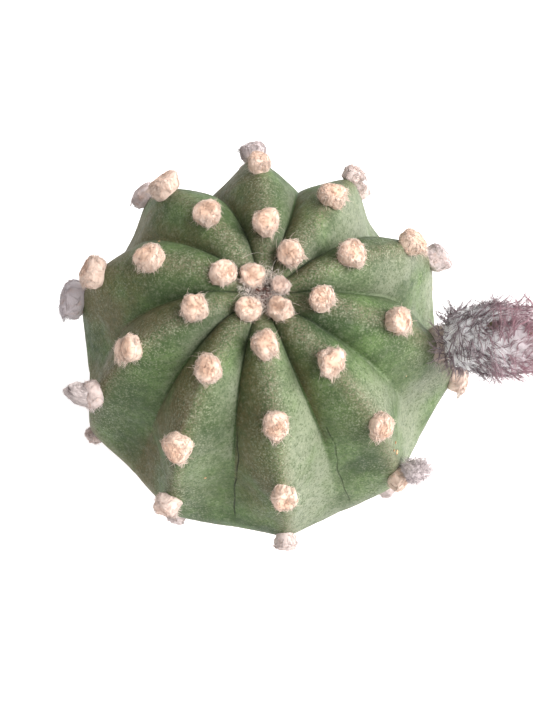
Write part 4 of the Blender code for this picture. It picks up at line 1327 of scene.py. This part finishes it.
def hairs_on_bud(rng, count, level, around, heading, bend, reach, top):
    """Hairs that set off together over the bud and wave as they go, side by side."""
    walked = np.linspace(0, 1, HAIR_STEPS)
    wave = rng.uniform(0.1, 0.5) * np.sin(walked * rng.uniform(5, 9) + rng.uniform(0, 6))
    turn = heading + bend * walked + wave
    step = reach / (HAIR_STEPS - 1)
    base = bud_radius(np.clip(level, 0.06, 0.94)) * FLEECE_SHARE
    climb = np.concatenate([[0], np.cumsum(np.cos(turn[:-1]))]) * step
    sweep = np.concatenate([[0], np.cumsum(np.sin(turn[:-1]))]) * step
    apart = rng.normal(0, LOCK_SPREAD, (2, count, 1)) * (1 - 0.5 * walked)
    length = rng.uniform(0.7, 1.1, (count, 1))
    along = BUD_LENGTH * level + climb * length + apart[0]
    aside = sweep * length + apart[1]
    share = along / BUD_LENGTH
    radius = bud_radius(np.clip(share, 0.02, 0.985)) * FLEECE_SHARE
    radius = np.where(share > 0, radius, BUD_FOOT_RADIUS * 1.2)
    radius = np.maximum(radius, TIP_RADIUS) - HAIR_ROOT_DEPTH + (top + HAIR_ROOT_DEPTH) * walked ** 1.6
    arch = np.sin(math.pi * np.minimum(walked + 0.1, 1))
    radius = radius + rng.uniform(-0.15, 0.30, (count, 1)) * MM * arch
    angle = around + aside / np.maximum(base, 3 * MM)
    return np.stack([radius * np.cos(angle), radius * np.sin(angle), along], -1)


paths, girths, warmths, tints = [], [], [], []
golden = math.pi * (3 - math.sqrt(5))
for number in range(LOCKS + STRAY_HAIRS):
    stray = number >= LOCKS
    level = rng.random() if stray else (number + 0.5) / LOCKS
    level = level ** 1.05 * 1.01 - 0.03 + rng.normal(0, 0.015)
    around = number * golden + rng.normal(0, 0.15)
    flares = stray or rng.random() < FLARING_LOCKS or level < 0.07
    heading = 1.9 * hair_flow(level, around, 0) * (1.1 - 0.5 * level) + rng.normal(0, 0.25 + 0.35 * level)
    bend = 2.4 * hair_flow(level, around, 40) + rng.normal(0, 0.5)
    if level < 0.12:
        heading = rng.uniform(-math.pi, math.pi)
    reach = rng.uniform(*(LONG_HAIRS if level > 0.10 else FOOT_HAIRS)) * MM
    most = FLARING_LIFT[1] + 1.6 * min(level + 0.2, 1)
    top = rng.uniform(FLARING_LIFT[0], most) if flares else rng.uniform(*LYING_LIFT)
    count = 1 if stray else LOCK_HAIRS
    rows = hairs_on_bud(rng, count, level, around, heading, bend, reach, top * MM)
    paths.append(stand(rows, pose))
    girths.append(rng.uniform(*HAIR_GIRTH, count) * MM * (0.6 if stray else 1))
    tints.append(np.clip(rng.random() + rng.normal(0, 0.06, count), 0, 1))
    glow = (level - 0.32) * 2.0 + (0.35 if flares else 0.15) * np.linspace(0, 1, HAIR_STEPS)
    warmths.append(glow[None] + rng.normal(0, 0.08, (count, 1)))
bud_hair = strands("bud_hair", np.concatenate(paths), np.concatenate(girths), tint=np.concatenate(tints),
                   warmth=np.clip(np.concatenate(warmths), 0, 1))
long_hair, shader, coords = new_material("bud_hair", 0.55, Specular_IOR_Level=0.4, Sheen_Weight=0.1)
kind = read(coords, "tint")
painted(shader, layered(blended(ramp(kind, 0.0, 0.45), HAIR_DARK, HAIR_GREY),
                        (1, ramp(kind, 0.88, 0.98), 1, HAIR_WHITE),
                        (1, read(coords, "warmth"), 0.85, HAIR_PINK)))
bumped(shader, rough(coords, 3000, 2), 0.02 * MM)
finish_piece(bud_hair, long_hair, "bud_wool", "flower_bud")

axis = np.array(bud_axis)
beside = unit(np.cross(axis, [0, 0, 1.0]))
above = np.cross(beside, axis)
above = above * np.sign(above[2])


def on_seat(ways):
    """Points of the cushion under the bud, which is flatter on its upper side."""
    flattened = ways - SEAT_FLATNESS * np.maximum(ways @ above, 0)[:, None] * above
    return np.array(bud_foot) + beside * SEAT_ASIDE + flattened * SEAT_RADIUS


seat, shape = ball("bud_seat", segments=40, ring_count=26)
shape = on_seat(shape * (1 + 0.07 * uneven(shape * 3, 1.0) + 0.05 * uneven(shape * 9, 1.0))[:, None] * 0.95)
over = np.maximum((shape - bud_foot) @ axis - SEAT_HEIGHT, 0)
move_points(seat.data, shape - over[:, None] * axis)
store(seat.data, tint=np.full(len(shape), 0.7), grey=np.full(len(shape), 0.45), middle=np.zeros(len(shape)))
bpy.ops.object.shade_smooth()
finish_piece(seat, wool, "areole_wool")
ways = unit(rng.normal(size=(SKIRT_HAIRS, 3)))
ways -= np.maximum(ways @ axis - 0.35, 0)[:, None] * axis
root = on_seat(ways * 0.93)
curl = unit(rng.normal(size=(SKIRT_HAIRS, 3)))
reach = (0.5 + (1.3 - 1.1 * ways @ above) * rng.random(SKIRT_HAIRS) ** 3) * MM
paths = bending(root, unit(ways + 0.9 * curl), (curl * 0.7 + SKIRT_PULL) * 0.8, reach, SKIRT_STEPS)
skirt = strands("bud_skirt", paths, rng.uniform(*SKIRT_GIRTH, SKIRT_HAIRS) * MM,
                tint=rng.random(SKIRT_HAIRS), grey=rng.uniform(*SKIRT_GREYNESS, SKIRT_HAIRS),
                middle=np.zeros(SKIRT_HAIRS))
finish_piece(skirt, wool, "areole_wool")
